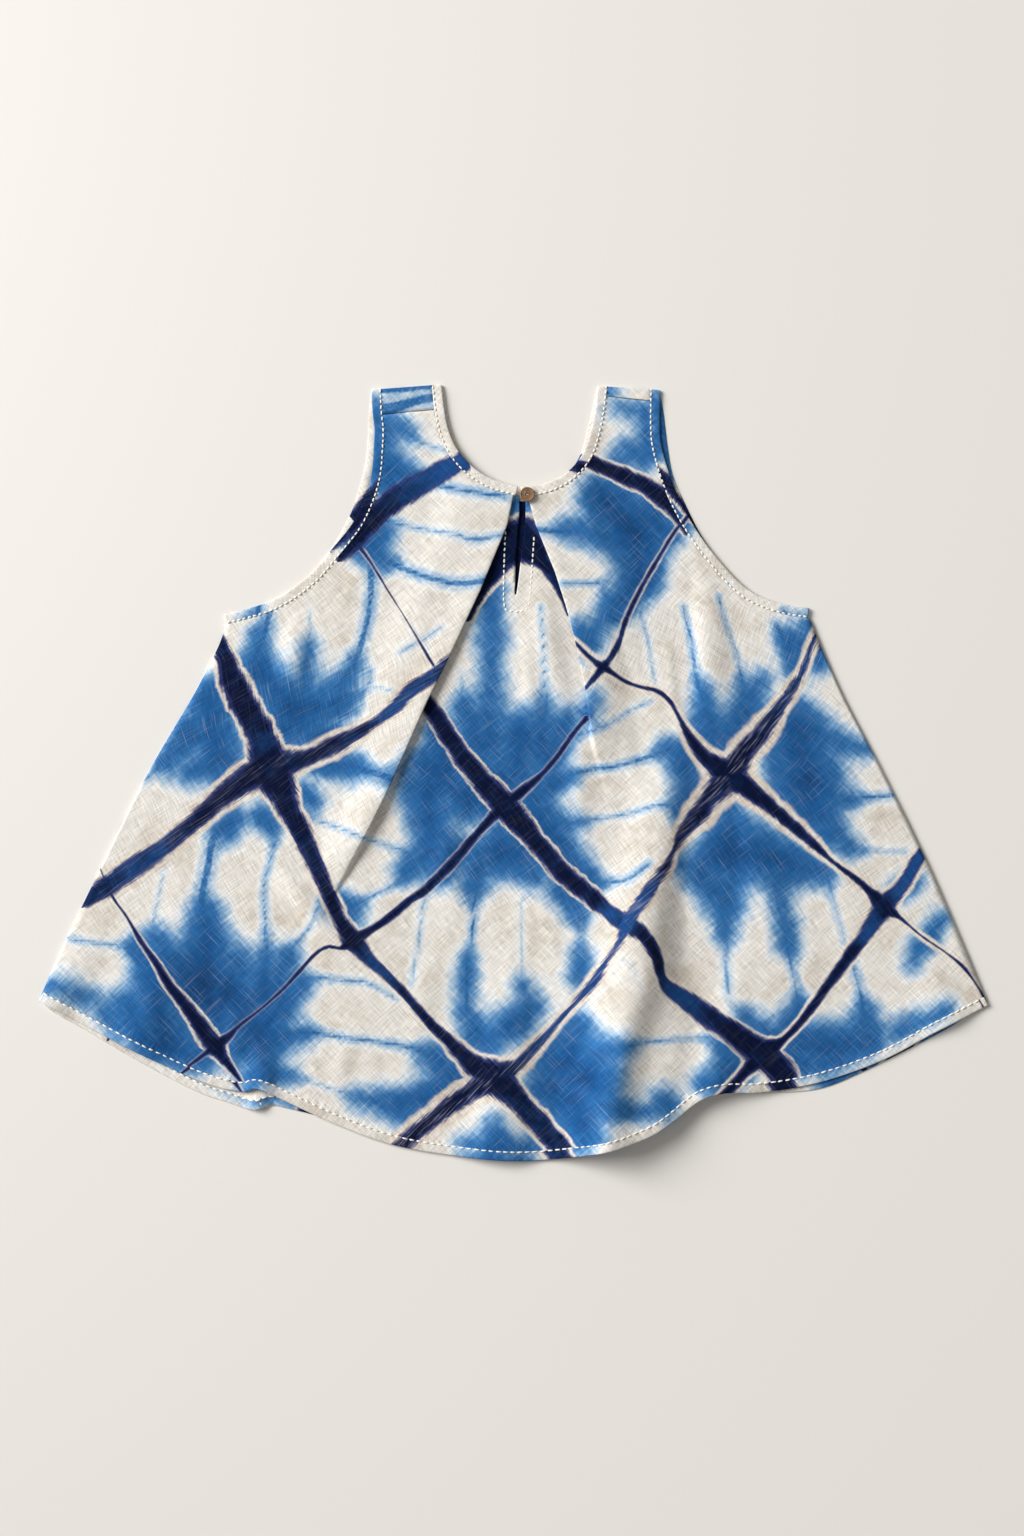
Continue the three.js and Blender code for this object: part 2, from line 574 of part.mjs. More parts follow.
function buttonMesh() {
  const material = new THREE.MeshStandardMaterial({ color: "#8a6a4c", roughness: 0.6, metalness: 0 });
  const solid = solidOf(buttonGeometry());
  const mesh = meshOf("button", solid, material);
  const seat = bindingTop(button.x, button.y) + CLOTH / 2 + SEAM_GAP;
  mesh.position.set(button.x, button.y, seat);
  return mesh;
}

const tankTop = new THREE.Group();
tankTop.name = "tank_top";
tankTop.add(
  meshOf("front_panel", frontPanel(), cloth("#c9d2dc")),
  meshOf("back_panel", backPanel(), cloth("#4f7fb4")),
  meshOf("neck_binding", neckBinding(), cloth("#dfe3e6")),
  meshOf("armhole_binding_left", armholeBinding(curves.leftArmhole, curves.backLeftArmhole), cloth("#5c8fc6")),
  meshOf("armhole_binding_right", armholeBinding(curves.rightArmhole, curves.backRightArmhole), cloth("#d9dde2")),
  buttonMesh(),
);
tankTop.position.set(CENTRE_SHIFT.x, CENTRE_SHIFT.y, 0);

export default tankTop;
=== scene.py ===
"""A loose tank top of indigo-dyed cotton laid flat, seen from straight above."""

import math

import bpy
import numpy as np
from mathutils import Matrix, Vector, noise


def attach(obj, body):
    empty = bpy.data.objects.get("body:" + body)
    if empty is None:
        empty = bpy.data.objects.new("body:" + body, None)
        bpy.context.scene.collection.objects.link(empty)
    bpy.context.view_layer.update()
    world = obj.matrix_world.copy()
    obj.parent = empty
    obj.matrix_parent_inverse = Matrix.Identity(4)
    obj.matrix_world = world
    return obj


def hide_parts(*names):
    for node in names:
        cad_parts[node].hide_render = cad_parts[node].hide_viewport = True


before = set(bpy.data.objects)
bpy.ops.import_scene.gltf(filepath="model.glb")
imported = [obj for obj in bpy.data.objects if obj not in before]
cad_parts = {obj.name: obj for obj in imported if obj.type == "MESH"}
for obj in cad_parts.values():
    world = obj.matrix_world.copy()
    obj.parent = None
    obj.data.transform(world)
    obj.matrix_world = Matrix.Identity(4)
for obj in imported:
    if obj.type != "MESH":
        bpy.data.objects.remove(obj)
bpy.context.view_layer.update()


# The back.
# One piece of plain-weave cotton that lies on the table, with the shoulders cut long, so that each
# strap folds over the top and meets the front at a seam. Its hem shows past the front's at the sides.
MM = 0.001
SHIFT = (-1.6, 0.2)  # from the pattern's own middle to the middle of the laid-out top
CLOTH = 0.5  # thickness
BACK_LEVEL = 0.45
FRONT_LEVEL = 2.35
BINDING = 8.0  # finished width of the bindings and the hem

back_left_armhole = [
    (-118, 321), (-120.1, 300), (-121, 280), (-122.6, 262), (-128.5, 237), (-137.8, 212),
    (-155, 183), (-173, 162.5), (-200.3, 144.5), (-230.2, 135), (-241.5, 132.5),
]
back_right_armhole = [
    (124.3, 321), (127.5, 300), (130.5, 275), (135, 250), (146, 224), (160.5, 196),
    (175, 176.5), (199.9, 152), (227.6, 141), (249.5, 137.5),
]
back_neck = [
    (-59, 325), (-55.5, 308), (-50.6, 289), (-44, 271), (-35.3, 255.5), (-18.5, 243), (6, 235.5),
    (34, 240), (49, 253), (58.5, 269), (63.5, 288), (68.3, 308), (71.7, 324.2),
]
back_hem = [
    (-396.6, -191.8), (-389, -199), (-357, -217.6), (-310, -245), (-262.1, -269.6),
    (-239.4, -277.2), (-224, -282.2), (-213, -283.2), (-203, -280), (-187, -283), (-147.8, -293),
    (-98.3, -307), (-26.9, -317), (23.5, -318), (90, -305), (136, -286), (175, -271),
    (208.3, -270), (258.7, -266), (292.3, -253), (333.9, -232.5), (364.6, -216.5), (399.6, -197),
]
left_side = [
    (-241.5, 124), (-242.4, 116), (-262.1, 73.9), (-304.1, 1.7), (-346.1, -82.3), (-378, -149),
    (-396.6, -191.5),
]
right_side = [
    (250, 129), (254.3, 117.6), (275.5, 68), (310, 1.7), (351.1, -82.3), (383.9, -158),
    (399.6, -195.5),
]
straps = {  # outer and inner x, then the y of the fold and of the seam at each
    "left": {"x": (-118, -59), "fold": (321, 325.5), "seam": (299, 304.6)},
    "right": {"x": (124.3, 71.7), "fold": (321, 324.2), "seam": (310.5, 315.8)},
}
back_ridges = [("left hem curl", -207, -240, -214, -284, 10, 15, 1, 4.5, 0)]


def run_along(points):
    """How far along a row of points each one lies."""
    return np.concatenate([[0], np.cumsum(np.linalg.norm(np.diff(points, axis=0), axis=1))])


def smooth_curve(points, spacing):
    """A centripetal curve through the points, at even spacing."""
    p = np.array([q[:2] for q in points], float)
    t = np.concatenate([[0], np.cumsum(np.sqrt(np.linalg.norm(np.diff(p, axis=0), axis=1)))])
    slope = np.diff(p, axis=0) / np.diff(t)[:, None]
    tangent = np.empty_like(p)
    tangent[0], tangent[-1] = slope[0], slope[-1]
    tangent[1:-1] = slope[:-1] + slope[1:] - (p[2:] - p[:-2]) / (t[2:] - t[:-2])[:, None]
    fine = []
    for i in range(len(p) - 1):
        s = np.linspace(0, 1, 24, endpoint=False)[:, None]
        gap = t[i + 1] - t[i]
        fine.append(
            (2 * s**3 - 3 * s**2 + 1) * p[i]
            + (s**3 - 2 * s**2 + s) * gap * tangent[i]
            + (3 * s**2 - 2 * s**3) * p[i + 1]
            + (s**3 - s**2) * gap * tangent[i + 1]
        )
    fine = np.vstack(fine + [p[-1:]])
    run = run_along(fine)
    stops = np.linspace(0, run[-1], max(2, int(round(run[-1] / spacing)) + 1))
    return np.stack([np.interp(stops, run, fine[:, k]) for k in (0, 1)], axis=1)


def sideways(curve, distance, inside):
    """The curve moved by a distance to the side that holds the point inside."""
    run = np.gradient(curve, axis=0)
    run /= np.linalg.norm(run, axis=1)[:, None]
    normal = np.stack([-run[:, 1], run[:, 0]], axis=1)
    m = len(curve) // 2
    if np.dot(normal[m], np.array(inside) - curve[m]) < 0:
        normal = -normal
    return curve + normal * distance


def ease(a, b, v):
    """0 below a, 1 above b, eased between."""
    t = np.clip((np.asarray(v, float) - a) / (b - a), 0, 1)
    return t * t * (3 - 2 * t)


def ridges_at(rows, x, y):
    """Height of soft ridges. Each has its name, start, end, half width at both, how many times wider the
    right side is, height, and 1 if the end fades."""
    total = np.zeros(np.shape(x))
    for _, x0, y0, x1, y1, w0, w1, lee, height, fades in rows:
        dx, dy = x1 - x0, y1 - y0
        length = math.hypot(dx, dy)
        t = ((x - x0) * dx + (y - y0) * dy) / length**2
        left = ((x - x0) * dy - (y - y0) * dx) / length
        off = np.abs(left)
        width = (w0 + (w1 - w0) * np.clip(t, 0, 1)) * np.where(left < 0, lee, 1)
        rise = np.sin(np.pi * np.clip(t, 0, 1)) ** 2 if fades else ease(0, 1.15, t) / ease(0, 1.15, 1)
        bump = np.cos(np.pi / 2 * np.clip(off / width, 0, 1)) ** 2
        total += np.where((t > 0) & (off < width), height * rise * bump, 0)
    return total


def strap_line(which, x):
    """The y of the shoulder's fold or seam at x."""
    x = np.asarray(x, float)
    result = np.empty(x.shape)
    for side, mask in (("left", x < 6), ("right", x >= 6)):
        (xo, xi), (yo, yi) = straps[side]["x"], straps[side][which]
        t = np.clip((x - xo) / (xi - xo), -0.2, 1.2)
        result = np.where(mask, yo + (yi - yo) * t, result)
    return result


def inside_outline(outline, x, y):
    """True for each point inside a closed outline."""
    inside = np.zeros(x.shape, bool)
    a = outline
    b = np.roll(outline, -1, axis=0)
    for (ax, ay), (bx, by) in zip(a, b):
        if ay == by:
            continue
        crosses = (ay > y) != (by > y)
        inside ^= crosses & (x < ax + (bx - ax) * (y - ay) / (by - ay))
    return inside


def nearest_on(outline, x, y, closed=True):
    """The nearest point of an outline to each point, its distance and its run along the outline."""
    a = outline if closed else outline[:-1]
    b = np.roll(outline, -1, axis=0) if closed else outline[1:]
    d = b - a
    lengths = np.linalg.norm(d, axis=1)
    starts = np.concatenate([[0], np.cumsum(lengths)])[:-1]
    best = np.full(x.shape, 1e9)
    nx, ny, run = np.zeros(x.shape), np.zeros(x.shape), np.zeros(x.shape)
    for (ax, ay), (dx, dy), size, start in zip(a, d, lengths, starts):
        t = np.clip(((x - ax) * dx + (y - ay) * dy) / max(size**2, 1e-9), 0, 1)
        px, py = ax + dx * t, ay + dy * t
        gap = np.hypot(x - px, y - py)
        near = gap < best
        best = np.where(near, gap, best)
        nx, ny = np.where(near, px, nx), np.where(near, py, ny)
        run = np.where(near, start + size * t, run)
    return nx, ny, best, run


def mesh_object(name, points, faces, layers=None):
    """A mesh from points in millimetres, with named values held at its points."""
    mesh = bpy.data.meshes.new(name)
    moved = (np.asarray(points) + np.array([SHIFT[0], SHIFT[1], 0])) * MM
    mesh.from_pydata(moved.tolist(), [], [list(map(int, f)) for f in faces])
    for key, values in (layers or {}).items():
        values = np.asarray(values, np.float32)
        if values.ndim == 1:
            mesh.attributes.new(key, "FLOAT", "POINT").data.foreach_set("value", values)
        else:
            mesh.attributes.new(key, "FLOAT_VECTOR", "POINT").data.foreach_set("vector", values.ravel())
    mesh.polygons.foreach_set("use_smooth", [True] * len(mesh.polygons))
    mesh.update()
    obj = bpy.data.objects.new(name, mesh)
    bpy.context.scene.collection.objects.link(obj)
    return obj


def grid_faces(rows, across):
    """Four-sided faces between the points of a grid."""
    j, i = np.meshgrid(np.arange(rows - 1), np.arange(across - 1), indexing="ij")
    a = (j * across + i).ravel()
    return np.stack([a, a + 1, a + 1 + across, a + across], axis=1)


def cut_to_outline(points, faces, outline, keep_inside=True, allowed=None):
    """Faces whose middle is inside the outline, with the new edge's points moved onto the outline."""
    middle = points[faces].mean(axis=1)
    inside = inside_outline(outline, middle[:, 0], middle[:, 1])
    keep = inside if keep_inside else ~inside
    if allowed is not None:
        keep = keep | ~allowed[faces].all(axis=1)
    kept, gone = faces[keep], faces[~keep]
    edge = np.intersect1d(np.unique(kept), np.unique(gone))
    nx, ny, gap, _ = nearest_on(outline, points[edge, 0], points[edge, 1])
    furthest_move = 6
    close = gap < furthest_move
    points[edge[close], 0] = nx[close]
    points[edge[close], 1] = ny[close]
    return points, kept


def drop_unused(points, faces, *others):
    """The points that the faces use, and the other values held at them."""
    used, renumbered = np.unique(faces, return_inverse=True)
    return (points[used], renumbered.reshape(faces.shape)) + tuple(o[used] for o in others)


def thicken(obj):
    """Gives a surface the thickness of the cloth, half to each side."""
    shell = obj.modifiers.new("cloth", "SOLIDIFY")
    shell.thickness = CLOTH * MM
    shell.offset = 0
    shell.use_even_offset = False


# The dye, charted. The cloth was folded and clamped: the folds took it as navy lines. Each row of
# a line is x, y, half width and depth of colour. A line's letter sets it apart from those that cross
# it, the next letters name the layers that show it (w wings, u underlay, b back), then how streaky it is
# and how far the bare edge beside it reaches.
dye_lines = [
    ("left falling", "A", "w", 0.1, 2.2, [
        (-256, 122, 8, 1), (-244, 103, 7, 1), (-233, 74, 11, 1), (-221, 50, 12, 1), (-211, 31, 12, 0.8),
        (-203, 4, 18, 1), (-186, -33, 9, 1), (-175, -56, 8.5, 0.9), (-163, -81, 7, 0.9),
        (-153, -104, 6, 1), (-144, -125, 6, 1), (-133, -141, 9, 1), (-119, -158, 5, 0.6),
        (-105, -171, 4, 0.5), (-93, -183, 4, 1), (-72, -207, 4.2, 1), (-53, -226, 5.2, 1),
        (-36, -243, 8, 1), (-15, -256, 15, 1), (9, -280, 8.7, 0.8), (32, -305, 9, 0.8),
        (52, -332, 9.5, 0.9)]),
    ("left rising", "C", "w", 0.45, 3.4, [
        (-364, -113, 3, 0.4), (-356, -107, 6, 0.9), (-340, -96, 8.5, 0.8), (-323, -84, 9, 0.6),
        (-300, -69, 8, 0.6), (-280, -53, 7, 0.8), (-260, -36, 7.5, 1), (-240, -18, 9, 1),
        (-203, 4, 14, 1), (-171, 12, 6.8, 0.9), (-144, 25, 7.3, 0.9), (-119, 39, 4, 0.8),
        (-101, 52, 5, 0.4), (-84, 68, 6, 0.6), (-70, 78, 6, 0.7), (-54, 90, 6, 0.7), (-40, 102, 5, 0.7)]),
    ("far left falling", "B", "w", 0, 1.5, [
        (-347, -78, 0.4, 1), (-335, -105, 1, 1), (-323, -122, 1.1, 1), (-312, -141, 1.8, 1),
        (-298, -161, 2.8, 1), (-285, -182, 4.3, 1), (-267, -205, 6.3, 1), (-254, -224, 8, 1),
        (-248, -232, 8, 1), (-238, -246, 3.6, 0.9), (-227, -260, 1.4, 0.9), (-220, -270, 1, 1)]),
    ("lower left rising", "D", "wu", 0, 0.9, [
        (-276, -250, 0.8, 1), (-258, -237, 1.8, 1), (-249, -230, 6, 1), (-238, -222, 3, 1),
        (-229, -213, 1.2, 1), (-211, -199, 0.8, 1), (-192, -182, 1.2, 1), (-179, -168, 1.6, 1),
        (-163, -151, 1.5, 0.9), (-153, -146, 1.3, 0.9), (-144, -148, 1.2, 1), (-133, -141, 7, 1),
        (-119, -133, 3, 1), (-99, -119, 3.6, 1), (-86, -108, 3.6, 1), (-73, -99, 4, 1), (-49, -75, 4, 0.9),
        (-27, -49, 3.4, 1), (-6, -28, 6, 1), (24, -3, 2.2, 1), (38, 13, 1.9, 1), (52, 33, 1.9, 1),
        (58, 40, 2.1, 1), (64, 47, 2.4, 1)]),
    ("main falling, top", "B", "u", 0.05, 1.0, [
        (-90, 82, 6, 0.9), (-66, 50, 7.5, 1), (-44, 16, 8, 0.9), (-27, -6, 9, 1)]),
    ("main falling", "B", "wu", 0.05, 1.1, [
        (-44, 16, 8, 0.9), (-27, -6, 9, 1), (-6, -28, 12, 1),
        (18, -56, 8, 1), (42, -84, 8.3, 1), (52, -93, 8.5, 1), (69, -107, 7.2, 0.9), (83, -119, 5.8, 0.4),
        (96, -127, 8, 0.6), (108, -134, 6.3, 1), (121, -155, 4.9, 1), (125, -171, 3.8, 0.8),
        (131, -181, 6, 0.5), (146, -191, 8, 0.5), (159, -202, 8.8, 0.8), (182, -216, 10, 1),
        (204, -233, 12, 1), (226, -251, 12, 1), (234, -268, 11, 1)]),
    ("left hair falling", "A", "w", 0, 1.5, [
        (-131, 193, 2, 0.8), (-118, 175, 0.9, 0.8), (-107, 157, 0.6, 0.9), (-92, 133, 0.5, 0.8),
        (-81, 115, 0.6, 0.8), (-68, 93, 1.2, 0.9), (-60, 82, 1.4, 0.9), (-50, 70, 1.4, 0.9)]),
    ("left yoke band", "C", "w", 0.1, 0.2, [
        (-34, 268, 8.5, 0.1), (-50, 257, 8.5, 0.2), (-77, 242, 10, 0.5), (-107, 222, 10.2, 0.9),
        (-133, 196, 10, 1), (-150, 182, 10, 1)]),
    ("right yoke band", "A", "w", 0.1, 1.4, [
        (48, 268, 5, 1), (62, 262, 6, 1), (87, 251, 6.5, 1), (116, 238, 7.5, 1), (136, 222, 8, 1),
        (152, 203, 8, 1)]),
    ("right hair rising", "C", "w", 0, 1.5, [
        (146, 212, 2, 0.9), (139, 205, 1.4, 0.9), (122, 178, 1.5, 0.8), (106, 150, 1.8, 0.9),
        (95, 126, 2, 0.9), (89, 107, 2.6, 0.8), (82, 95, 2.5, 0.8), (76, 88, 4.5, 1), (71, 81, 2.6, 0.9),
        (64, 73, 1.6, 0.5), (58, 66, 1, 0.3)]),
    ("right falling", "A", "w", 0, 4.6, [
        (42, 116, 1.4, 0.8), (52, 109, 1.4, 0.8), (62, 99, 2, 1), (70, 92, 2.4, 1), (76, 88, 4, 1),
        (84, 83, 2, 1), (95, 76, 1.5, 1), (109, 71, 1.5, 1), (122, 68, 1.8, 1), (132, 60, 1.8, 1),
        (139, 48, 1.8, 1),
        (148, 31, 3.2, 1), (160, 14, 6, 1), (183, -3, 14, 1), (198, -14, 8, 1), (223, -34, 5.8, 1),
        (249, -57, 4.2, 1), (270, -76, 1.7, 1), (289, -90, 2.4, 1), (301, -101, 3.4, 1), (312, -113, 9, 1),
        (324, -121, 1.5, 0.8), (343, -137, 0.7, 0.7), (366, -153, 0.7, 0.9), (379, -164, 1.4, 1),
        (390, -179, 0.8, 1), (400, -196, 0.8, 1)]),
    ("right rising", "C", "w", 0.9, 5.2, [
        (262, 132, 2, 0.5), (252, 108, 2, 0.5), (245, 88, 2.6, 0.6), (239, 76, 3.2, 0.6), (225, 55, 4.6, 0.7),
        (210, 34, 7.5, 0.9), (195, 16, 8.5, 1), (183, -3, 13, 1), (168, -20, 8.5, 0.9), (154, -38, 7.7, 0.9),
        (141, -55, 4.2, 0.9), (135, -66, 1.6, 0.9), (129, -78, 3.4, 0.9), (117, -96, 5.8, 0.6),
        (106, -111, 4.6, 0.1), (96, -127, 5.5, 0.3), (88, -146, 2.2, 0.1), (79, -158, 2, 0.2),
        (69, -175, 4, 0.5), (55, -191, 2.2, 0.4), (39, -209, 2, 0.4), (20, -230, 3.6, 0.5),
        (5, -245, 5.4, 0.8), (-15, -256, 13, 1), (-34, -268, 8, 1), (-57, -284, 7.2, 1),
        (-76, -299, 6.6, 1), (-98, -316, 6, 1)]),
    ("far right rising", "D", "w", 0, 2.6, [
        (350, -58, 4, 0.2), (338, -78, 5, 0.2), (326, -97, 6, 0.3), (312, -113, 9, 1), (299, -133, 6, 0.4),
        (288, -148, 5.5, 0.9), (272, -169, 4.8, 1), (255, -193, 4, 1), (241, -211, 3, 1),
        (226, -226, 2.6, 1), (212, -235, 12, 1), (197, -250, 4.5, 1), (181, -266, 4.3, 1),
        (172, -276, 4.3, 1)]),
    ("keyhole arch", "A", "u", 0, 2.2, [
        (-39, 126, 3.4, 1), (-29, 148, 5.5, 1), (-17, 166, 7.6, 1), (-6, 181, 12, 1), (6, 194, 21, 1),
        (18, 185, 14, 1), (29, 173, 6.4, 1), (37, 160, 5, 0.9), (43, 147, 3.4, 0.9), (48, 131, 1.6, 0.9)]),
    # Painted shade: a navy line on the back, where it shows through the slit, so that the narrow gap between
    # the layers looks dark inside.
    ("painted shade under the slit", "A", "b", 0, 2, [(7, 100, 4, 1), (7, 130, 12, 1), (7, 200, 15, 1), (7, 222, 12, 1)]),
]
# Paler blue that crept in from the corners: x, y at both ends of a tongue, then its radius at each.
dye_washes = [
    ("right shoulder fold", "b", [(66, 402, 80, 404, 8, 6)]),
    ("left strap", "w", [
        (-107, 296, -103, 245, 8, 11), (-98, 255, -78, 246, 7, 3), (-98, 292, -86, 284, 4, 2)]),
    ("left yoke", "w", [
        (-122, 188, -108, 200, 8, 5), (-108, 178, -116, 192, 4, 6)]),
    ("under left armhole", "w", [
        (-213, 87, -181, 50, 12, 20), (-181, 50, -148, 60, 20, 13), (-148, 60, -133, 87, 12, 5),
        (-213, 114, -210, 84, 4, 11), (-170, 102, -173, 69, 3, 9), (-195, 35, -153, 30, 10, 10)]),
    ("left edge", "w", [
        (-256, 60, -248, 14, 17, 18), (-270, 31, -291, 8, 17, 8), (-249, 7, -270, 0, 10, 8)]),
    ("left centre", "w", [
        (-256, -123, -258, -179, 13, 34), (-297, -141, -270, -170, 7, 20),
        (-232, -160, -240, -185, 13, 30), (-207, -154, -210, -183, 6, 17),
        (-210, -183, -230, -207, 15, 13), (-258, -183, -244, -217, 30, 7), (-188, -154, -197, -175, 5, 8),
        (-232, -39, -239, -49, 5, 8), (-210, -37, -202, -47, 7, 4)]),
    ("left of the pleat", "w", [
        (-160, 5, -134, 3, 5, 8), (-144, -112, -136, -118, 8, 8), (-174, -17, -168, -24, 4, 5)]),
    ("centre left", "w", [
        (-67, 0, -37, -24, 20, 15), (-71, -15, -67, -66, 22, 13), (-92, -8, -69, -15, 8, 17),
        (-37, -24, -20, -29, 13, 7), (-69, -67, -92, -84, 11, 5), (-52, -66, -60, -86, 12, 7),
        (-50, 25, -55, 6, 7, 13)]),
    ("centre left", "u", [
        (-67, 0, -37, -24, 20, 15), (-71, -15, -67, -66, 22, 13), (-37, -24, -20, -29, 13, 7),
        (-69, -67, -92, -84, 11, 5), (-52, -66, -60, -86, 12, 7), (-60, 31, -55, 6, 10, 15)]),
    ("underlay", "u", [
        (-17, 151, -17, 111, 6, 7), (-17, 111, -18, 60, 7, 8), (-18, 60, -20, 23, 8, 17),
        (-39, 55, -27, 25, 7, 13), (7, 31, 2, -2, 20, 13), (28, 56, 24, 20, 4, 15),
        (45, 42, 30, 10, 7, 10), (-10, 0, -3, -15, 12, 5), (3, 224, 10, 226, 6, 5)]),
    ("right strap", "w", [
        (90, 306, 112, 303, 3, 5), (112, 300, 115, 272, 5, 7), (96, 272, 112, 264, 3, 6),
        (88, 262, 100, 266, 2, 3)]),
    ("right yoke", "w", [
        (76, 228, 102, 202, 18, 25), (102, 202, 108, 163, 25, 14), (77, 198, 50, 203, 11, 7),
        (108, 163, 87, 139, 14, 8), (118, 212, 131, 200, 15, 8), (87, 139, 66, 116, 7, 4),
        (57, 118, 62, 108, 6, 7)]),
    ("under right armhole", "w", [
        (160, 69, 165, 42, 3, 10), (165, 40, 175, 25, 10, 12), (194, 69, 197, 50, 4, 10),
        (197, 50, 183, 34, 11, 10), (233, 111, 234, 91, 8, 3), (208, 77, 200, 60, 4, 8)]),
    ("right side edge", "w", [(250, 122, 258, 96, 5, 8), (246, 104, 242, 90, 5, 4)]),
    ("outer right", "w", [
        (238, 40, 249, -8, 18, 29), (247, 37, 272, 24, 15, 8), (272, 24, 296, 20, 7, 4),
        (252, -24, 267, -52, 22, 8), (222, 13, 234, -15, 8, 12), (272, -50, 286, -64, 7, 3),
        (264, -24, 284, -23, 8, 4)]),
    ("right of the pleat", "wu", [
        (17, -24, 29, -50, 10, 14), (29, -50, 45, -67, 12, 8), (29, -15, 45, -6, 10, 5),
        (40, -44, 54, -42, 7, 3), (45, -67, 67, -91, 8, 6), (145, 8, 148, -8, 10, 10),
        (131, 19, 144, 10, 5, 10), (150, -15, 141, -34, 8, 4), (64, 50, 69, 60, 4, 3)]),
    ("right centre", "w", [
        (184, -34, 184, -67, 7, 30), (158, -84, 178, -108, 12, 15), (178, -103, 179, -134, 13, 5),
        (198, -67, 234, -79, 25, 15), (234, -79, 260, -84, 15, 8), (223, -82, 225, -111, 12, 5),
        (144, -77, 160, -82, 3, 10), (230, -128, 232, -146, 5, 6), (240, -198, 234, -210, 5, 8),
        (196, -205, 218, -220, 3, 5)]),
    ("centre", "wu", [
        (-10, -52, -10, -66, 7, 22), (-25, -76, -31, -97, 12, 7), (5, -71, 18, -87, 17, 7),
        (-38, -203, -23, -225, 6, 10), (-23, -225, 3, -209, 10, 10), (3, -209, 17, -198, 10, 6),
        (15, -195, 10, -180, 5, 3), (45, -101, 55, -120, 10, 5), (58, -156, 58, -170, 5, 7),
        (-37, -158, -38, -179, 3, 5)]),
    ("left corner", "w", [
        (-306, -165, -292, -225, 8, 24), (-292, -227, -260, -244, 22, 8), (-321, -198, -306, -229, 15, 17),
        (-341, -202, -328, -218, 8, 10), (-390, -179, -378, -181, 6, 5), (-365, -186, -356, -190, 6, 6),
        (-314, -146, -304, -170, 5, 10)]),
    ("lower left", "w", [
        (-230, -234, -210, -218, 8, 22), (-210, -217, -190, -192, 20, 8), (-210, -230, -208, -249, 20, 10),
        (-190, -190, -176, -178, 8, 5), (-195, -222, -175, -220, 11, 5), (-205, -250, -188, -254, 9, 4),
        (-210, -250, -222, -270, 8, 10), (-128, -274, -94, -281, 5, 8)]),
    ("left of the hem crossing", "w", [
        (-66, -240, -50, -254, 9, 9), (-50, -255, -72, -272, 10, 10), (-72, -272, -94, -280, 10, 8),
        (-94, -280, -108, -274, 8, 5)]),
    ("below the hem crossing", "w", [
        (-14, -294, -14, -319, 3, 24), (-35, -321, 12, -323, 12, 12)]),
    ("right of the hem crossing", "w", [
        (55, -215, 49, -244, 10, 27), (27, -264, 64, -255, 12, 27), (52, -276, 60, -304, 25, 15),
        (74, -235, 91, -230, 15, 6), (72, -276, 108, -284, 13, 4)]),
    ("right hem", "w", [
        (178, -230, 183, -254, 5, 13), (161, -260, 183, -260, 7, 8), (126, -276, 134, -286, 8, 7)]),
    ("right corner", "w", [
        (242, -227, 269, -235, 12, 20), (269, -234, 297, -225, 20, 15), (297, -202, 299, -225, 6, 15),
        (230, -235, 244, -244, 7, 10), (324, -218, 363, -202, 7, 5)]),
    ("far right", "w", [
        (360, -124, 351, -138, 3, 4), (341, -148, 336, -160, 4, 3), (326, -99, 336, -94, 5, 4)]),
]
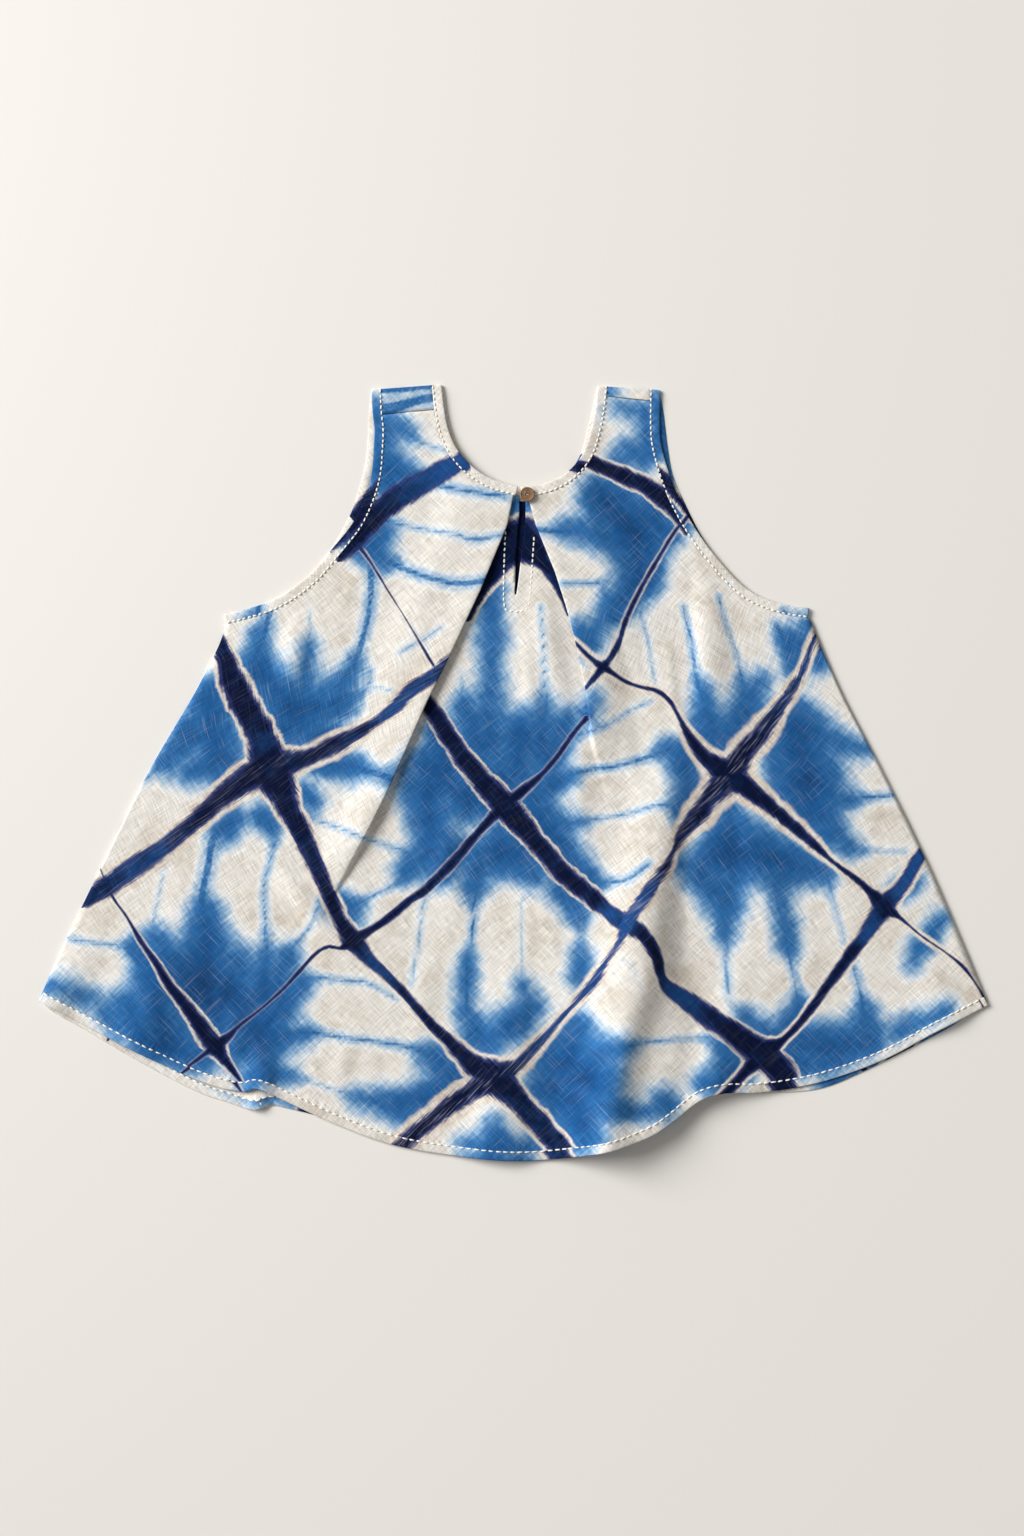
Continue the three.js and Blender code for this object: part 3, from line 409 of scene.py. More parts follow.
# Thin veins between the pale fingers: strength, then x, y and half width.
dye_veins = [
    ("left shoulder fold 1", "b", 1, [(-128, 399, 10), (-90, 400, 9), (-54, 398, 10)]),
    ("left shoulder fold 2", "b", 0.95, [(-128, 420, 13), (-100, 417, 11), (-78, 412, 8), (-54, 410, 7)]),
    ("left strap", "w", 0.7, [(-96, 292, 2.5), (-81, 279, 2.1), (-55, 269, 1.3)]),
    ("left yoke 1", "w", 0.9, [(-60, 240, 3.4), (-34, 235, 3.4), (-5, 231, 3.4)]),
    ("left yoke 2", "w", 0.75, [
        (-108, 212, 3.4), (-86, 206, 1.7), (-51, 200, 1.8), (-32, 195, 3.8), (-7, 199, 1.7)]),
    ("left yoke 3", "w", 1, [
        (-108, 178, 5), (-91, 171, 4.2), (-76, 165, 3.8), (-46, 158, 3.8), (-18, 161, 3.4)]),
    ("left yoke 4", "w", 0.55, [(-94, 100, 2), (-84, 106, 2.2), (-74, 111, 1.2), (-58, 122, 1.4)]),
    ("left yoke 5", "w", 0.4, [(-84, 120, 1), (-76, 110, 1.6), (-70, 103, 1)]),
    ("under left armhole 1", "w", 1, [
        (-118, 183, 5.9), (-119, 142, 4.2), (-125, 113, 4.2), (-134, 88, 4.2), (-148, 71, 5)]),
    ("under left armhole 2", "w", 0.4, [(-170, 134, 2.5), (-170, 114, 3.4), (-173, 92, 3.4)]),
    ("under left armhole 3", "w", 1, [(-202, 139, 4.2), (-209, 113, 4.6), (-217, 91, 5.9)]),
    ("under left armhole 4", "w", 0.7, [(-119, 84, 1.3), (-121, 70, 1.3), (-141, 59, 1.7)]),
    ("under left armhole 5", "w", 0.6, [(-121, 70, 1.3), (-108, 70, 1.2), (-97, 66, 1)]),
    ("left edge", "w", 0.5, [(-291, 10, 3.4), (-307, -5, 3.4), (-324, -18, 3.4)]),
    ("left centre 1", "w", 1, [
        (-234, -39, 5.9), (-250, -55, 6.3), (-255, -79, 5.5), (-260, -104, 5.9), (-260, -123, 7.6)]),
    ("left centre 2", "w", 0.85, [
        (-198, -54, 1.3), (-203, -75, 1.7), (-208, -94, 1.8), (-207, -124, 2.5), (-206, -151, 3.4)]),
    ("left centre 3", "w", 0.6, [(-162, -108, 1.7), (-169, -129, 2.5), (-190, -153, 3.4)]),
    ("left centre 4", "w", 0.5, [(-292, -82, 1.7), (-298, -112, 2), (-302, -133, 2.5)]),
    ("left of the pleat 1", "w", 1, [
        (-165, 5, 3.4), (-144, 7, 5), (-128, 3, 5.9), (-102, -5, 5.9), (-84, -13, 5.9)]),
    ("left of the pleat 2", "w", 0.7, [(-170, -39, 1.3), (-148, -46, 1.7), (-124, -55, 1.7), (-86, -66, 2)]),
    ("left of the pleat 3", "w", 0.7, [
        (-136, -114, 2.5), (-123, -107, 2), (-102, -97, 1.7), (-84, -87, 1.7)]),
    ("centre left 1", "wu", 0.7, [(-123, -56, 1.7), (-101, -63, 2), (-77, -71, 3.4)]),
    ("underlay 1", "u", 0.8, [(24, 138, 1.3), (26, 111, 1.5), (27, 84, 1.8), (28, 60, 3.4)]),
    ("underlay 2", "u", 0.4, [(-43, 86, 1.7), (-41, 60, 3.4)]),
    ("right yoke 1", "w", 0.85, [(22, 203, 5), (37, 202, 5), (55, 202, 5.9)]),
    ("right yoke 2", "w", 0.9, [(43, 158, 1.3), (60, 158, 1.1), (79, 160, 1.7)]),
    ("right yoke 3", "w", 0.6, [(74, 160, 1.7), (80, 139, 2.5), (79, 128, 2.5)]),
    ("under right armhole 1", "w", 0.45, [(108, 134, 3.4), (114, 109, 3.4), (120, 74, 2.5)]),
    ("under right armhole 2", "w", 0.95, [(144, 139, 1.2), (150, 111, 1.5), (154, 84, 2.5), (160, 60, 4.2)]),
    ("under right armhole 3", "w", 0.75, [(173, 148, 1.2), (181, 119, 1.2), (190, 93, 1.7), (194, 72, 4.2)]),
    ("under right armhole 4", "w", 0.8, [(220, 126, 2.5), (228, 111, 5), (234, 84, 1.7)]),
    ("outer right 1", "w", 0.9, [(266, -27, 3.4), (291, -22, 3), (324, -19, 3)]),
    ("outer right 2", "w", 0.7, [(271, -65, 1.7), (291, -66, 1.3), (330, -66, 1.3)]),
    ("outer right 3", "w", 0.6, [(267, 23, 3.4), (284, 24, 2.5), (302, 17, 1.7)]),
    ("right of the pleat 1", "wu", 0.7, [
        (50, 30, 2.2), (69, 35, 1.7), (88, 44, 1.5), (98, 51, 1.3), (116, 59, 1)]),
    ("right of the pleat 2", "wu", 1, [
        (39, -6, 3.4), (60, 1, 2.5), (88, 5, 2.2), (118, 14, 2.9), (134, 20, 4.2)]),
    ("right of the pleat 3", "wu", 0.75, [
        (39, -45, 1.7), (69, -40, 1.5), (98, -35, 1.5), (121, -28, 2.5), (138, -29, 4.2)]),
    ("right of the pleat 4", "wu", 0.9, [(60, -96, 4.2), (79, -93, 2.5), (96, -90, 2), (114, -77, 2.9)]),
    ("right centre 1", "w", 0.6, [(178, -128, 5), (180, -158, 5), (181, -185, 4.2)]),
    ("right centre 2", "w", 1, [
        (223, -104, 4.2), (228, -124, 4.2), (232, -147, 4.2), (237, -171, 1.7), (242, -197, 3.4)]),
    ("right centre 3", "w", 0.7, [(264, -87, 2.5), (270, -111, 1.7), (279, -144, 1.7)]),
    ("right centre 4", "w", 0.5, [(183, -192, 2.5), (193, -205, 2.5), (212, -215, 2.5)]),
    ("centre 1", "wu", 0.6, [(-73, -97, 2.5), (-78, -139, 2), (-85, -180, 2)]),
    ("centre 2", "wu", 1, [(-31, -96, 3.4), (-34, -139, 1.8), (-37, -165, 4.2), (-39, -200, 3.4)]),
    ("centre 3", "wu", 0.35, [(8, -108, 1.7), (8, -150, 2.5), (10, -188, 2.5)]),
    ("centre 4", "wu", 0.95, [(49, -104, 4.2), (57, -128, 2), (58, -150, 2.5)]),
    ("left corner 1", "w", 0.8, [(-375, -139, 1.7), (-354, -143, 1.7), (-336, -145, 2), (-314, -149, 3.4)]),
    ("lower left 1", "w", 0.85, [
        (-186, -176, 3.4), (-160, -173, 2.5), (-140, -175, 1.7), (-121, -177, 1.3), (-97, -191, 1.2)]),
    ("lower left 2", "w", 0.9, [
        (-190, -219, 5), (-165, -219, 2.9), (-141, -223, 2.5), (-116, -226, 2.5), (-87, -231, 3.4),
        (-62, -239, 5)]),
    ("lower left 3", "w", 0.6, [(-192, -253, 2.5), (-169, -260, 1.3), (-140, -270, 1.7)]),
    ("right of the hem crossing 1", "w", 0.8, [
        (79, -234, 5), (94, -229, 2.5), (112, -226, 1.7), (150, -223, 1.5), (176, -223, 2.5)]),
    ("right of the hem crossing 2", "w", 0.7, [
        (82, -286, 3.4), (101, -285, 2.9), (121, -282, 2.5), (141, -276, 2.5)]),
    ("right corner", "w", 0.9, [(286, -160, 4.2), (292, -180, 3.4), (296, -202, 5)]),
    # Painted shade: a faint blue vein along the lit side of the great flute, left of its crest, which darkens
    # that slope.
    ("painted shade on the flute", "w", 0.25, [(92, -156, 2.5), (102, -166, 4.2), (108, -180, 2.5)]),
]


def along_line(rows, x, y, spacing):
    """Signed distance to a charted line, its plain distance, its other columns at the nearest place, and how
    far past the line's ends each point lies."""
    path = smooth_curve(rows, spacing)
    stops = np.array(rows, float)
    knots = [int(np.argmin(np.hypot(path[:, 0] - q[0], path[:, 1] - q[1]))) for q in stops]
    columns = [np.interp(np.arange(len(path)), knots, stops[:, k]) for k in range(2, stops.shape[1])]
    best = np.full(x.shape, 1e9)
    signed = np.zeros(x.shape)
    found = [np.zeros(x.shape) for _ in columns]
    past = np.zeros(x.shape)
    for k in range(len(path) - 1):
        (ax, ay), (bx, by) = path[k], path[k + 1]
        dx, dy = bx - ax, by - ay
        size = max(math.hypot(dx, dy), 1e-6)
        share = ((x - ax) * dx + (y - ay) * dy) / size**2
        t = np.clip(share, 0, 1)
        over = np.zeros(x.shape)
        if k == 0:
            over = np.maximum(over, -share * size)
        if k == len(path) - 2:
            over = np.maximum(over, (share - 1) * size)
        ox, oy = x - ax - dx * t, y - ay - dy * t
        gap = np.hypot(ox, oy)
        near = gap < best
        best = np.where(near, gap, best)
        signed = np.where(near, np.where(dx * oy - dy * ox >= 0, gap, -gap), signed)
        for m, column in enumerate(columns):
            found[m] = np.where(near, column[k] + (column[k + 1] - column[k]) * t, found[m])
        past = np.where(near, over, past)
    return signed, best, found, past


def near_rows(rows, x, y, margin):
    """Which points lie near a charted form."""
    flat = np.array(rows, float)
    xs = np.concatenate([flat[:, 0], flat[:, 2]]) if flat.shape[1] == 6 else flat[:, 0]
    ys = np.concatenate([flat[:, 1], flat[:, 3]]) if flat.shape[1] == 6 else flat[:, 1]
    near_x = (x > xs.min() - margin) & (x < xs.max() + margin)
    near_y = (y > ys.min() - margin) & (y < ys.max() + margin)
    return near_x & near_y


def dye_fields(x, y, layer):
    """The dye at each point: four sets of lines, how streaky they are, the veins and the washes.
    The layer is 0 on the wings, 1 on the underlay and 2 on the back."""
    far, no_width = 60.0, -40.0  # the distance and half width where no line is near
    sets = {
        key: np.stack([np.full(x.shape, far), np.full(x.shape, no_width), np.ones(x.shape)])
        for key in "ABCD"
    }
    manner = np.zeros((2,) + x.shape)
    closest = np.full(x.shape, 1e9)

    def shown_on(letters):
        return ((layer == 0) & ("w" in letters)) | ((layer == 1) & ("u" in letters)) | (
            (layer == 2) & (("w" in letters) | ("b" in letters)))

    for _, key, letters, streaks, bare, rows in dye_lines:
        at = np.flatnonzero(shown_on(letters) & near_rows(rows, x, y, 45))
        signed, gap, (width, tone), past = along_line(rows, x[at], y[at], 4)
        width = np.maximum(np.where(gap > 34, no_width, width) - 4 * past, no_width)
        held = sets[key][:, at]
        take = (gap - width < np.abs(held[0]) - held[1]) & (gap < far)
        for k, values in enumerate((signed, width, tone)):
            sets[key][k, at] = np.where(take, values, held[k])
        nearer = gap - width < closest[at]
        closest[at] = np.where(nearer, gap - width, closest[at])
        bare_here = bare * np.minimum(1, 0.35 + 0.08 * np.maximum(width, 0))
        for k, value in enumerate((streaks, bare_here)):
            manner[k, at] = np.where(nearer, value, manner[k, at])
    veins = np.stack([np.full(x.shape, 30.0), np.zeros(x.shape), np.zeros(x.shape)])
    for _, letters, strength, rows in dye_veins:
        at = np.flatnonzero(shown_on(letters) & near_rows(rows, x, y, 30))
        _, gap, (width,), _ = along_line(rows, x[at], y[at], 5)
        nearer = gap - width < veins[0, at] - veins[1, at]
        for k, values in enumerate((gap, width, np.full(len(at), strength))):
            veins[k, at] = np.where(nearer, values, veins[k, at])
    total = np.zeros(x.shape)
    for _, letters, rows in dye_washes:
        at = np.flatnonzero(shown_on(letters) & near_rows(rows, x, y, 75))
        for x0, y0, x1, y1, r0, r1 in rows:
            dx, dy = x1 - x0, y1 - y0
            t = np.clip(((x[at] - x0) * dx + (y[at] - y0) * dy) / max(dx * dx + dy * dy, 1), 0, 1)
            depth = r0 + (r1 - r0) * t - np.hypot(x[at] - x0 - dx * t, y[at] - y0 - dy * t)
            total[at] += np.exp(np.clip(depth / 3.5, -12, 30))
    fields = {"dye_" + key.lower(): sets[key].T for key in "ABCD"}
    fields["dye_manner"] = np.stack([manner[0], manner[1], np.zeros(x.shape)], axis=1)
    fields["dye_vein"] = veins.T
    wash = 3.5 * np.log(total + math.exp(-9))
    # The blue is deepest where it gathered in the corners beside the fold lines.
    fields["dye_wash"] = wash + 7 * np.exp(-np.maximum(closest, 0) / 15) * ease(-16, 6, wash) - 1
    return fields


def colour(r, g, b):
    """A colour given as it looks on screen, from 0 to 255."""

    def linear(v):
        return ((v / 255 + 0.055) / 1.055) ** 2.4 if v > 10 else v / 255 / 12.92

    return (linear(r), linear(g), linear(b), 1.0)


def node(tree, kind, inputs=None, **settings):
    """A shader node with its settings, and its inputs linked or set."""
    made = tree.nodes.new(kind)
    for key, value in settings.items():
        setattr(made, key, value)
    for key, value in (inputs or {}).items():
        if isinstance(value, bpy.types.NodeSocket):
            tree.links.new(value, made.inputs[key])
        else:
            made.inputs[key].default_value = value
    return made


def calc(tree, operation, a, b=0.0, c=0.0):
    """One sum on two or three values."""
    return node(tree, "ShaderNodeMath", {0: a, 1: b, 2: c}, operation=operation).outputs[0]


def between(tree, value, low, high):
    """0 below low, 1 above high, eased."""
    made = node(
        tree, "ShaderNodeMapRange",
        {"Value": value, "From Min": low, "From Max": high}, interpolation_type="SMOOTHSTEP",
    )
    return made.outputs["Result"]


def blend_colour(tree, share, first, second, way="MIX"):
    """The first colour, with a share of the second laid over it."""
    made = node(tree, "ShaderNodeMix", data_type="RGBA", blend_type=way)
    for key, value in ((0, share), (6, first), (7, second)):
        if isinstance(value, bpy.types.NodeSocket):
            tree.links.new(value, made.inputs[key])
        else:
            made.inputs[key].default_value = value
    return made.outputs[2]


def speckle(tree, place, scale, detail=3.0, roughness=0.55):
    """Uneven values around 0.5, finer with a larger scale."""
    return node(
        tree, "ShaderNodeTexNoise",
        {"Vector": place, "Scale": scale, "Detail": detail, "Roughness": roughness},
    ).outputs["Fac"]


def stretched(tree, place, turn, length, width):
    """The coordinates turned in plan and scaled, for streaks of a length and width along one direction."""
    return node(
        tree, "ShaderNodeMapping",
        {"Vector": place, "Rotation": (0, 0, math.radians(turn)), "Scale": (length, width, 1)},
        vector_type="TEXTURE",
    ).outputs[0]


CREAM, CREAM_WHITE, TAN = colour(231, 227, 220), colour(243, 242, 239), colour(199, 187, 170)
PALE_BLUE, SKY, BLUE = colour(204, 217, 228), colour(120, 165, 205), colour(50, 112, 172)
DEEP_BLUE, NIGHT_BLUE = colour(29, 89, 149), colour(20, 60, 108)
NAVY, LINE_BLUE = colour(2, 15, 50), colour(24, 72, 132)
PURPLE, STREAK = colour(46, 58, 120), colour(158, 158, 188)
HALO, HALO_TAN = colour(236, 229, 219), colour(214, 201, 186)
FLECK = colour(92, 84, 84)
GRAIN = 44  # degrees from the hem to the cloth's own thread


def dye_line_group():
    """One set of fold lines: how much navy, bare edge and purple rim there is, and the depth of colour."""
    tree = bpy.data.node_groups.new("dye line", "ShaderNodeTree")
    tree.interface.new_socket("Line", in_out="INPUT", socket_type="NodeSocketVector")
    for name in ("Wander", "Fibre", "Streaky", "Reach"):
        tree.interface.new_socket(name, in_out="INPUT", socket_type="NodeSocketFloat")
    for name in ("Line", "Halo", "Rim", "Tone"):
        tree.interface.new_socket(name, in_out="OUTPUT", socket_type="NodeSocketFloat")
    into, out = tree.nodes.new("NodeGroupInput"), tree.nodes.new("NodeGroupOutput")
    parts = node(tree, "ShaderNodeSeparateXYZ", {0: into.outputs["Line"]})
    width = parts.outputs[1]
    broad = calc(tree, "MAXIMUM", width, 0.0)
    depth = calc(tree, "SUBTRACT", width, calc(tree, "ABSOLUTE", parts.outputs[0]))
    swing = calc(tree, "MINIMUM", calc(tree, "MULTIPLY_ADD", broad, 0.2, 0.25), 2.2)
    depth = calc(tree, "MULTIPLY_ADD", into.outputs["Wander"], swing, depth)
    fray = calc(tree, "MULTIPLY_ADD", broad, 0.5, 0.7)
    fray = calc(tree, "MULTIPLY_ADD", into.outputs["Streaky"], 9.0, fray)
    frayed = calc(tree, "MULTIPLY_ADD", into.outputs["Fibre"], fray, depth)
    outer = calc(tree, "MULTIPLY_ADD", broad, -0.14, -0.8)
    inner = calc(tree, "MULTIPLY_ADD", broad, 0.12, 0.5)
    solid = between(tree, frayed, outer, inner)
    reach = calc(tree, "MULTIPLY", into.outputs["Reach"], -0.8)
    soft = calc(tree, "MULTIPLY_ADD", into.outputs["Reach"], -0.7, -1.2)
    halo = between(tree, depth, calc(tree, "ADD", reach, soft), reach)
    halo = calc(tree, "MULTIPLY", halo, between(tree, into.outputs["Reach"], 0.0, 1.3))
    inward = calc(tree, "MULTIPLY_ADD", broad, -0.22, frayed)
    rim = calc(tree, "SUBTRACT", 1.0, between(tree, inward, -0.2, 2.2))
    for name, value in (("Line", solid), ("Halo", halo), ("Rim", rim), ("Tone", parts.outputs[2])):
        tree.links.new(value, out.inputs[name])
    return tree


def dyed_cotton_group(line_group):
    """The dyed cloth's colour, its weave and its puckers, from the values held at the cloth's points."""
    tree = bpy.data.node_groups.new("dyed cotton", "ShaderNodeTree")
    tree.interface.new_socket("Colour", in_out="OUTPUT", socket_type="NodeSocketColor")
    for name in ("Weave", "Pucker"):
        tree.interface.new_socket(name, in_out="OUTPUT", socket_type="NodeSocketFloat")
    out = tree.nodes.new("NodeGroupOutput")

    def held(name, output="Vector"):
        return node(tree, "ShaderNodeAttribute", attribute_name=name).outputs[output]

    def share(value, low, high):
        return between(tree, value, low, high)

    def product(a, b):
        return calc(tree, "MULTIPLY", a, b)

    place = held("cloth_place")
    broad = speckle(tree, place, 0.02, 3)
    middling = speckle(tree, place, 0.06, 4, 0.6)
    fine = speckle(tree, place, 0.3, 4, 0.65)
    warp = speckle(tree, stretched(tree, place, GRAIN, 17, 1.0), 1.0, 2)
    weft = speckle(tree, stretched(tree, place, GRAIN + 90, 17, 1.0), 1.0, 2)
    slub_a = speckle(tree, stretched(tree, place, GRAIN, 34, 0.75), 1.0, 1)
    slub_b = speckle(tree, stretched(tree, place, GRAIN + 90, 34, 0.75), 1.0, 1)
    falling = calc(tree, "SUBTRACT", speckle(tree, stretched(tree, place, -48, 30, 1.5), 1.0, 4, 0.65), 0.5)
    rising = calc(tree, "SUBTRACT", speckle(tree, stretched(tree, place, 46, 30, 1.5), 1.0, 4, 0.65), 0.5)
    creep = calc(
        tree, "ADD", speckle(tree, stretched(tree, place, GRAIN, 24, 3), 1.0, 2),
        speckle(tree, stretched(tree, place, GRAIN + 90, 24, 3), 1.0, 2))
    creep = calc(tree, "SUBTRACT", creep, 1.0)

    # Washes and veins.
    ragged = calc(tree, "MULTIPLY_ADD", middling, 13.0, calc(tree, "MULTIPLY_ADD", fine, 2.0, -7.5))
    ragged = calc(tree, "MULTIPLY_ADD", creep, 9.0, ragged)
    wash = calc(tree, "ADD", held("dye_wash", "Fac"), ragged)
    parts = node(tree, "ShaderNodeSeparateXYZ", {0: held("dye_vein")})
    apart, width, strength = parts.outputs[0], parts.outputs[1], parts.outputs[2]
    apart = calc(tree, "MULTIPLY_ADD", calc(tree, "SUBTRACT", middling, 0.5), 5.0, apart)
    patchy = share(calc(tree, "ADD", middling, product(fine, 0.4)), 0.5, 0.86)
    thin = calc(tree, "MULTIPLY_ADD", width, 0.4, calc(tree, "MULTIPLY_ADD", fine, 2.4, -1.2))
    core = share(calc(tree, "SUBTRACT", thin, apart), -1.5, 0.9)
    core = product(product(core, strength), calc(tree, "MULTIPLY_ADD", patchy, 0.42, 0.58))
    spread = calc(tree, "MULTIPLY_ADD", width, 1.9, calc(tree, "MULTIPLY_ADD", creep, 9.0, 6.5))
    glow = calc(tree, "SUBTRACT", 1.0, node(
        tree, "ShaderNodeMapRange", {"Value": apart, "From Min": 0.0, "From Max": spread},
        interpolation_type="SMOOTHERSTEP").outputs["Result"])
    glow = product(product(glow, strength), calc(tree, "MULTIPLY_ADD", patchy, 0.34, 0.3))
    blue = share(wash, -22.0, 10.0)
    clear = product(calc(tree, "SUBTRACT", 1.0, blue), calc(tree, "SUBTRACT", 1.0, glow))
    clear = product(clear, calc(tree, "SUBTRACT", 1.0, product(core, 0.9)))
    blue = calc(tree, "SUBTRACT", 1.0, clear)

    away = product(
        share(calc(tree, "MULTIPLY_ADD", middling, 0.4, product(broad, 0.7)), 0.5, 0.72),
        calc(tree, "SUBTRACT", 1.0, share(blue, 0.0, 0.3)))
    ground = blend_colour(tree, product(away, 0.62), CREAM, TAN)
    ground = blend_colour(tree, product(share(blue, 0.0, 0.2), 0.6), ground, CREAM_WHITE)
    ground = blend_colour(tree, share(blue, 0.06, 0.4), ground, PALE_BLUE)
    ground = blend_colour(tree, share(blue, 0.22, 0.7), ground, SKY)
    ground = blend_colour(tree, share(blue, 0.5, 0.95), ground, BLUE)
    uneven = calc(tree, "MULTIPLY_ADD", creep, 9.0, held("dye_wash", "Fac"))
    uneven = calc(tree, "MULTIPLY_ADD", broad, 16.0, uneven)
    uneven = calc(tree, "MULTIPLY_ADD", middling, 16.0, uneven)
    steeped = share(blue, 0.7, 1.0)
    ground = blend_colour(tree, product(share(uneven, 14.0, 34.0), steeped), ground, DEEP_BLUE)
    ground = blend_colour(tree, product(share(uneven, 28.0, 52.0), steeped), ground, NIGHT_BLUE)
    ground = blend_colour(tree, product(share(core, 0.4, 0.95), 0.5), ground, DEEP_BLUE)

    # Fold lines.
    wander = calc(tree, "MULTIPLY_ADD", middling, 3.2, calc(tree, "MULTIPLY_ADD", fine, 0.9, -2.05))
    manner = node(tree, "ShaderNodeSeparateXYZ", {0: held("dye_manner")})
    streaky, reach = manner.outputs[0], manner.outputs[1]
    reach = product(reach, calc(tree, "MULTIPLY_ADD", middling, 0.9, 0.55))
    halo, line, rim, tone = 0.0, 0.0, 1.0, 1.0
    for key in "abcd":
        one = node(tree, "ShaderNodeGroup", node_tree=line_group)
        for name, value in (
            ("Line", held("dye_" + key)), ("Wander", wander), ("Streaky", streaky),
            ("Fibre", falling if key in "ab" else rising), ("Reach", reach),
        ):
            tree.links.new(value, one.inputs[name])
        halo = calc(tree, "MAXIMUM", one.outputs["Halo"], halo)
        line = calc(tree, "MAXIMUM", one.outputs["Line"], line)
        bare = calc(tree, "SUBTRACT", 1.0, one.outputs["Line"])
        rim = calc(tree, "MINIMUM", calc(tree, "ADD", bare, one.outputs["Rim"]), rim)
        toned = calc(
            tree, "MULTIPLY_ADD", calc(tree, "SUBTRACT", one.outputs["Tone"], 1.0), one.outputs["Line"], 1.0)
        tone = calc(tree, "MINIMUM", toned, tone)
    warm = share(calc(tree, "MULTIPLY_ADD", fine, 0.5, product(middling, 0.6)), 0.42, 0.66)
    edge = blend_colour(tree, product(warm, share(reach, 0.8, 4.0)), HALO, HALO_TAN)
    full = blend_colour(tree, product(halo, 0.93), ground, edge)
    fibres = calc(tree, "MAXIMUM", falling, rising)
    tone = calc(tree, "MULTIPLY_ADD", calc(tree, "SUBTRACT", middling, 0.5), 0.9, tone)
    tone = calc(tree, "MULTIPLY_ADD", fibres, 0.35, tone)
    ink = blend_colour(tree, share(tone, 0.3, 1.04), LINE_BLUE, NAVY)
    ink = blend_colour(tree, product(rim, 0.62), ink, PURPLE)
    worn = product(streaky, share(rising, 0.0, 0.2))
    ink = blend_colour(tree, product(worn, 0.72), ink, STREAK)
    full = blend_colour(tree, line, full, ink)

    # The thread: every end and pick takes the dye a little differently, and slubs stay paler.
    threads = calc(tree, "ADD", warp, weft)
    lift = calc(tree, "MULTIPLY_ADD", threads, 0.9, 0.11)
    toned = node(tree, "ShaderNodeCombineColor", {0: lift, 1: lift, 2: lift}).outputs[0]
    full = blend_colour(tree, 1.0, full, toned, "MULTIPLY")
    slubs = calc(tree, "MAXIMUM", slub_a, slub_b)
    unlined = calc(tree, "MULTIPLY_ADD", line, -0.75, 1.0)
    full = blend_colour(tree, product(product(share(slubs, 0.6, 0.8), 0.2), unlined), full, CREAM_WHITE)
    sunk = calc(tree, "SUBTRACT", 1.0, share(calc(tree, "MINIMUM", slub_a, slub_b), 0.2, 0.36))
    full = blend_colour(tree, product(sunk, 0.3), full, TAN, "MULTIPLY")
    flecks = calc(tree, "SUBTRACT", 1.0, share(speckle(tree, place, 0.8, 1), 0.17, 0.2))
    full = blend_colour(tree, product(flecks, 0.5), full, FLECK)
    tree.links.new(full, out.inputs["Colour"])

    tree.links.new(calc(tree, "MULTIPLY_ADD", slubs, 0.8, product(threads, 0.6)), out.inputs["Weave"])
    seam = held("seam")
    drawn_out = node(tree, "ShaderNodeMapping", {"Vector": seam, "Scale": (0.23, 0.035, 1)}).outputs[0]
    gathers = speckle(tree, drawn_out, 1.0, 2)
    gap = node(tree, "ShaderNodeSeparateXYZ", {0: seam}).outputs[1]
    pull = calc(tree, "SUBTRACT", 1.0, share(gap, 2.0, 22.0))
    tree.links.new(product(gathers, pull), out.inputs["Pucker"])
    return tree


dyed_cotton = dyed_cotton_group(dye_line_group())


def cotton_material(name):
    """Matt cotton, raised by its weave and by the pull of the sewing."""
    made = bpy.data.materials.new(name)
    made.use_nodes = True
    tree = made.node_tree
    skin = tree.nodes["Principled BSDF"]
    cloth = node(tree, "ShaderNodeGroup", node_tree=dyed_cotton)
    tree.links.new(cloth.outputs["Colour"], skin.inputs["Base Color"])
    skin.inputs["Roughness"].default_value = 0.88
    skin.inputs["Specular IOR Level"].default_value = 0.08
    skin.inputs["Sheen Weight"].default_value = 0.02
    skin.inputs["Sheen Roughness"].default_value = 0.5
    raised = node(
        tree, "ShaderNodeBump",
        {"Height": cloth.outputs["Weave"], "Strength": 0.3, "Distance": 0.0006},
    )
    pulled = node(
        tree, "ShaderNodeBump",
        {"Height": cloth.outputs["Pucker"], "Strength": 0.8, "Distance": 0.0018, "Normal": raised.outputs[0]},
    )
    tree.links.new(pulled.outputs[0], skin.inputs["Normal"])
    return made


cotton = cotton_material("indigo cotton")


def rumple(x, y, seed, size, height):
    """Low soft unevenness of cloth that has been worn and laid down."""
    values = [
        noise.noise(Vector((px / size + seed, py / size, seed)))
        + 0.5 * noise.noise(Vector((px / size * 2.1, py / size * 2.1 + seed, seed)))
        for px, py in zip(x, y)
    ]
    return np.array(values) * height


def cloth_layers(x, y, layer, place_x, place_y, seam_run, seam_gap):
    """All the values held at a piece's points: its dye, its place in the weave and its nearest seam."""
    fields = dye_fields(x, y, layer)
    fields["cloth_place"] = np.stack([place_x, place_y, np.zeros(len(x))], axis=1)
    fields["seam"] = np.stack([seam_run, seam_gap, np.zeros(len(x))], axis=1)
    return fields


middle_of_body = (0, 100)
edges = {
    "back left armhole": smooth_curve(back_left_armhole, 2),
    "back right armhole": smooth_curve(back_right_armhole, 2),
    "back neck": smooth_curve(back_neck, 2),
    "back hem": smooth_curve(back_hem, 2),
    "left side": smooth_curve(left_side, 3),
    "right side": smooth_curve(right_side, 3),
}
PANEL_EDGE = 7.2  # the panel runs a little way under its binding


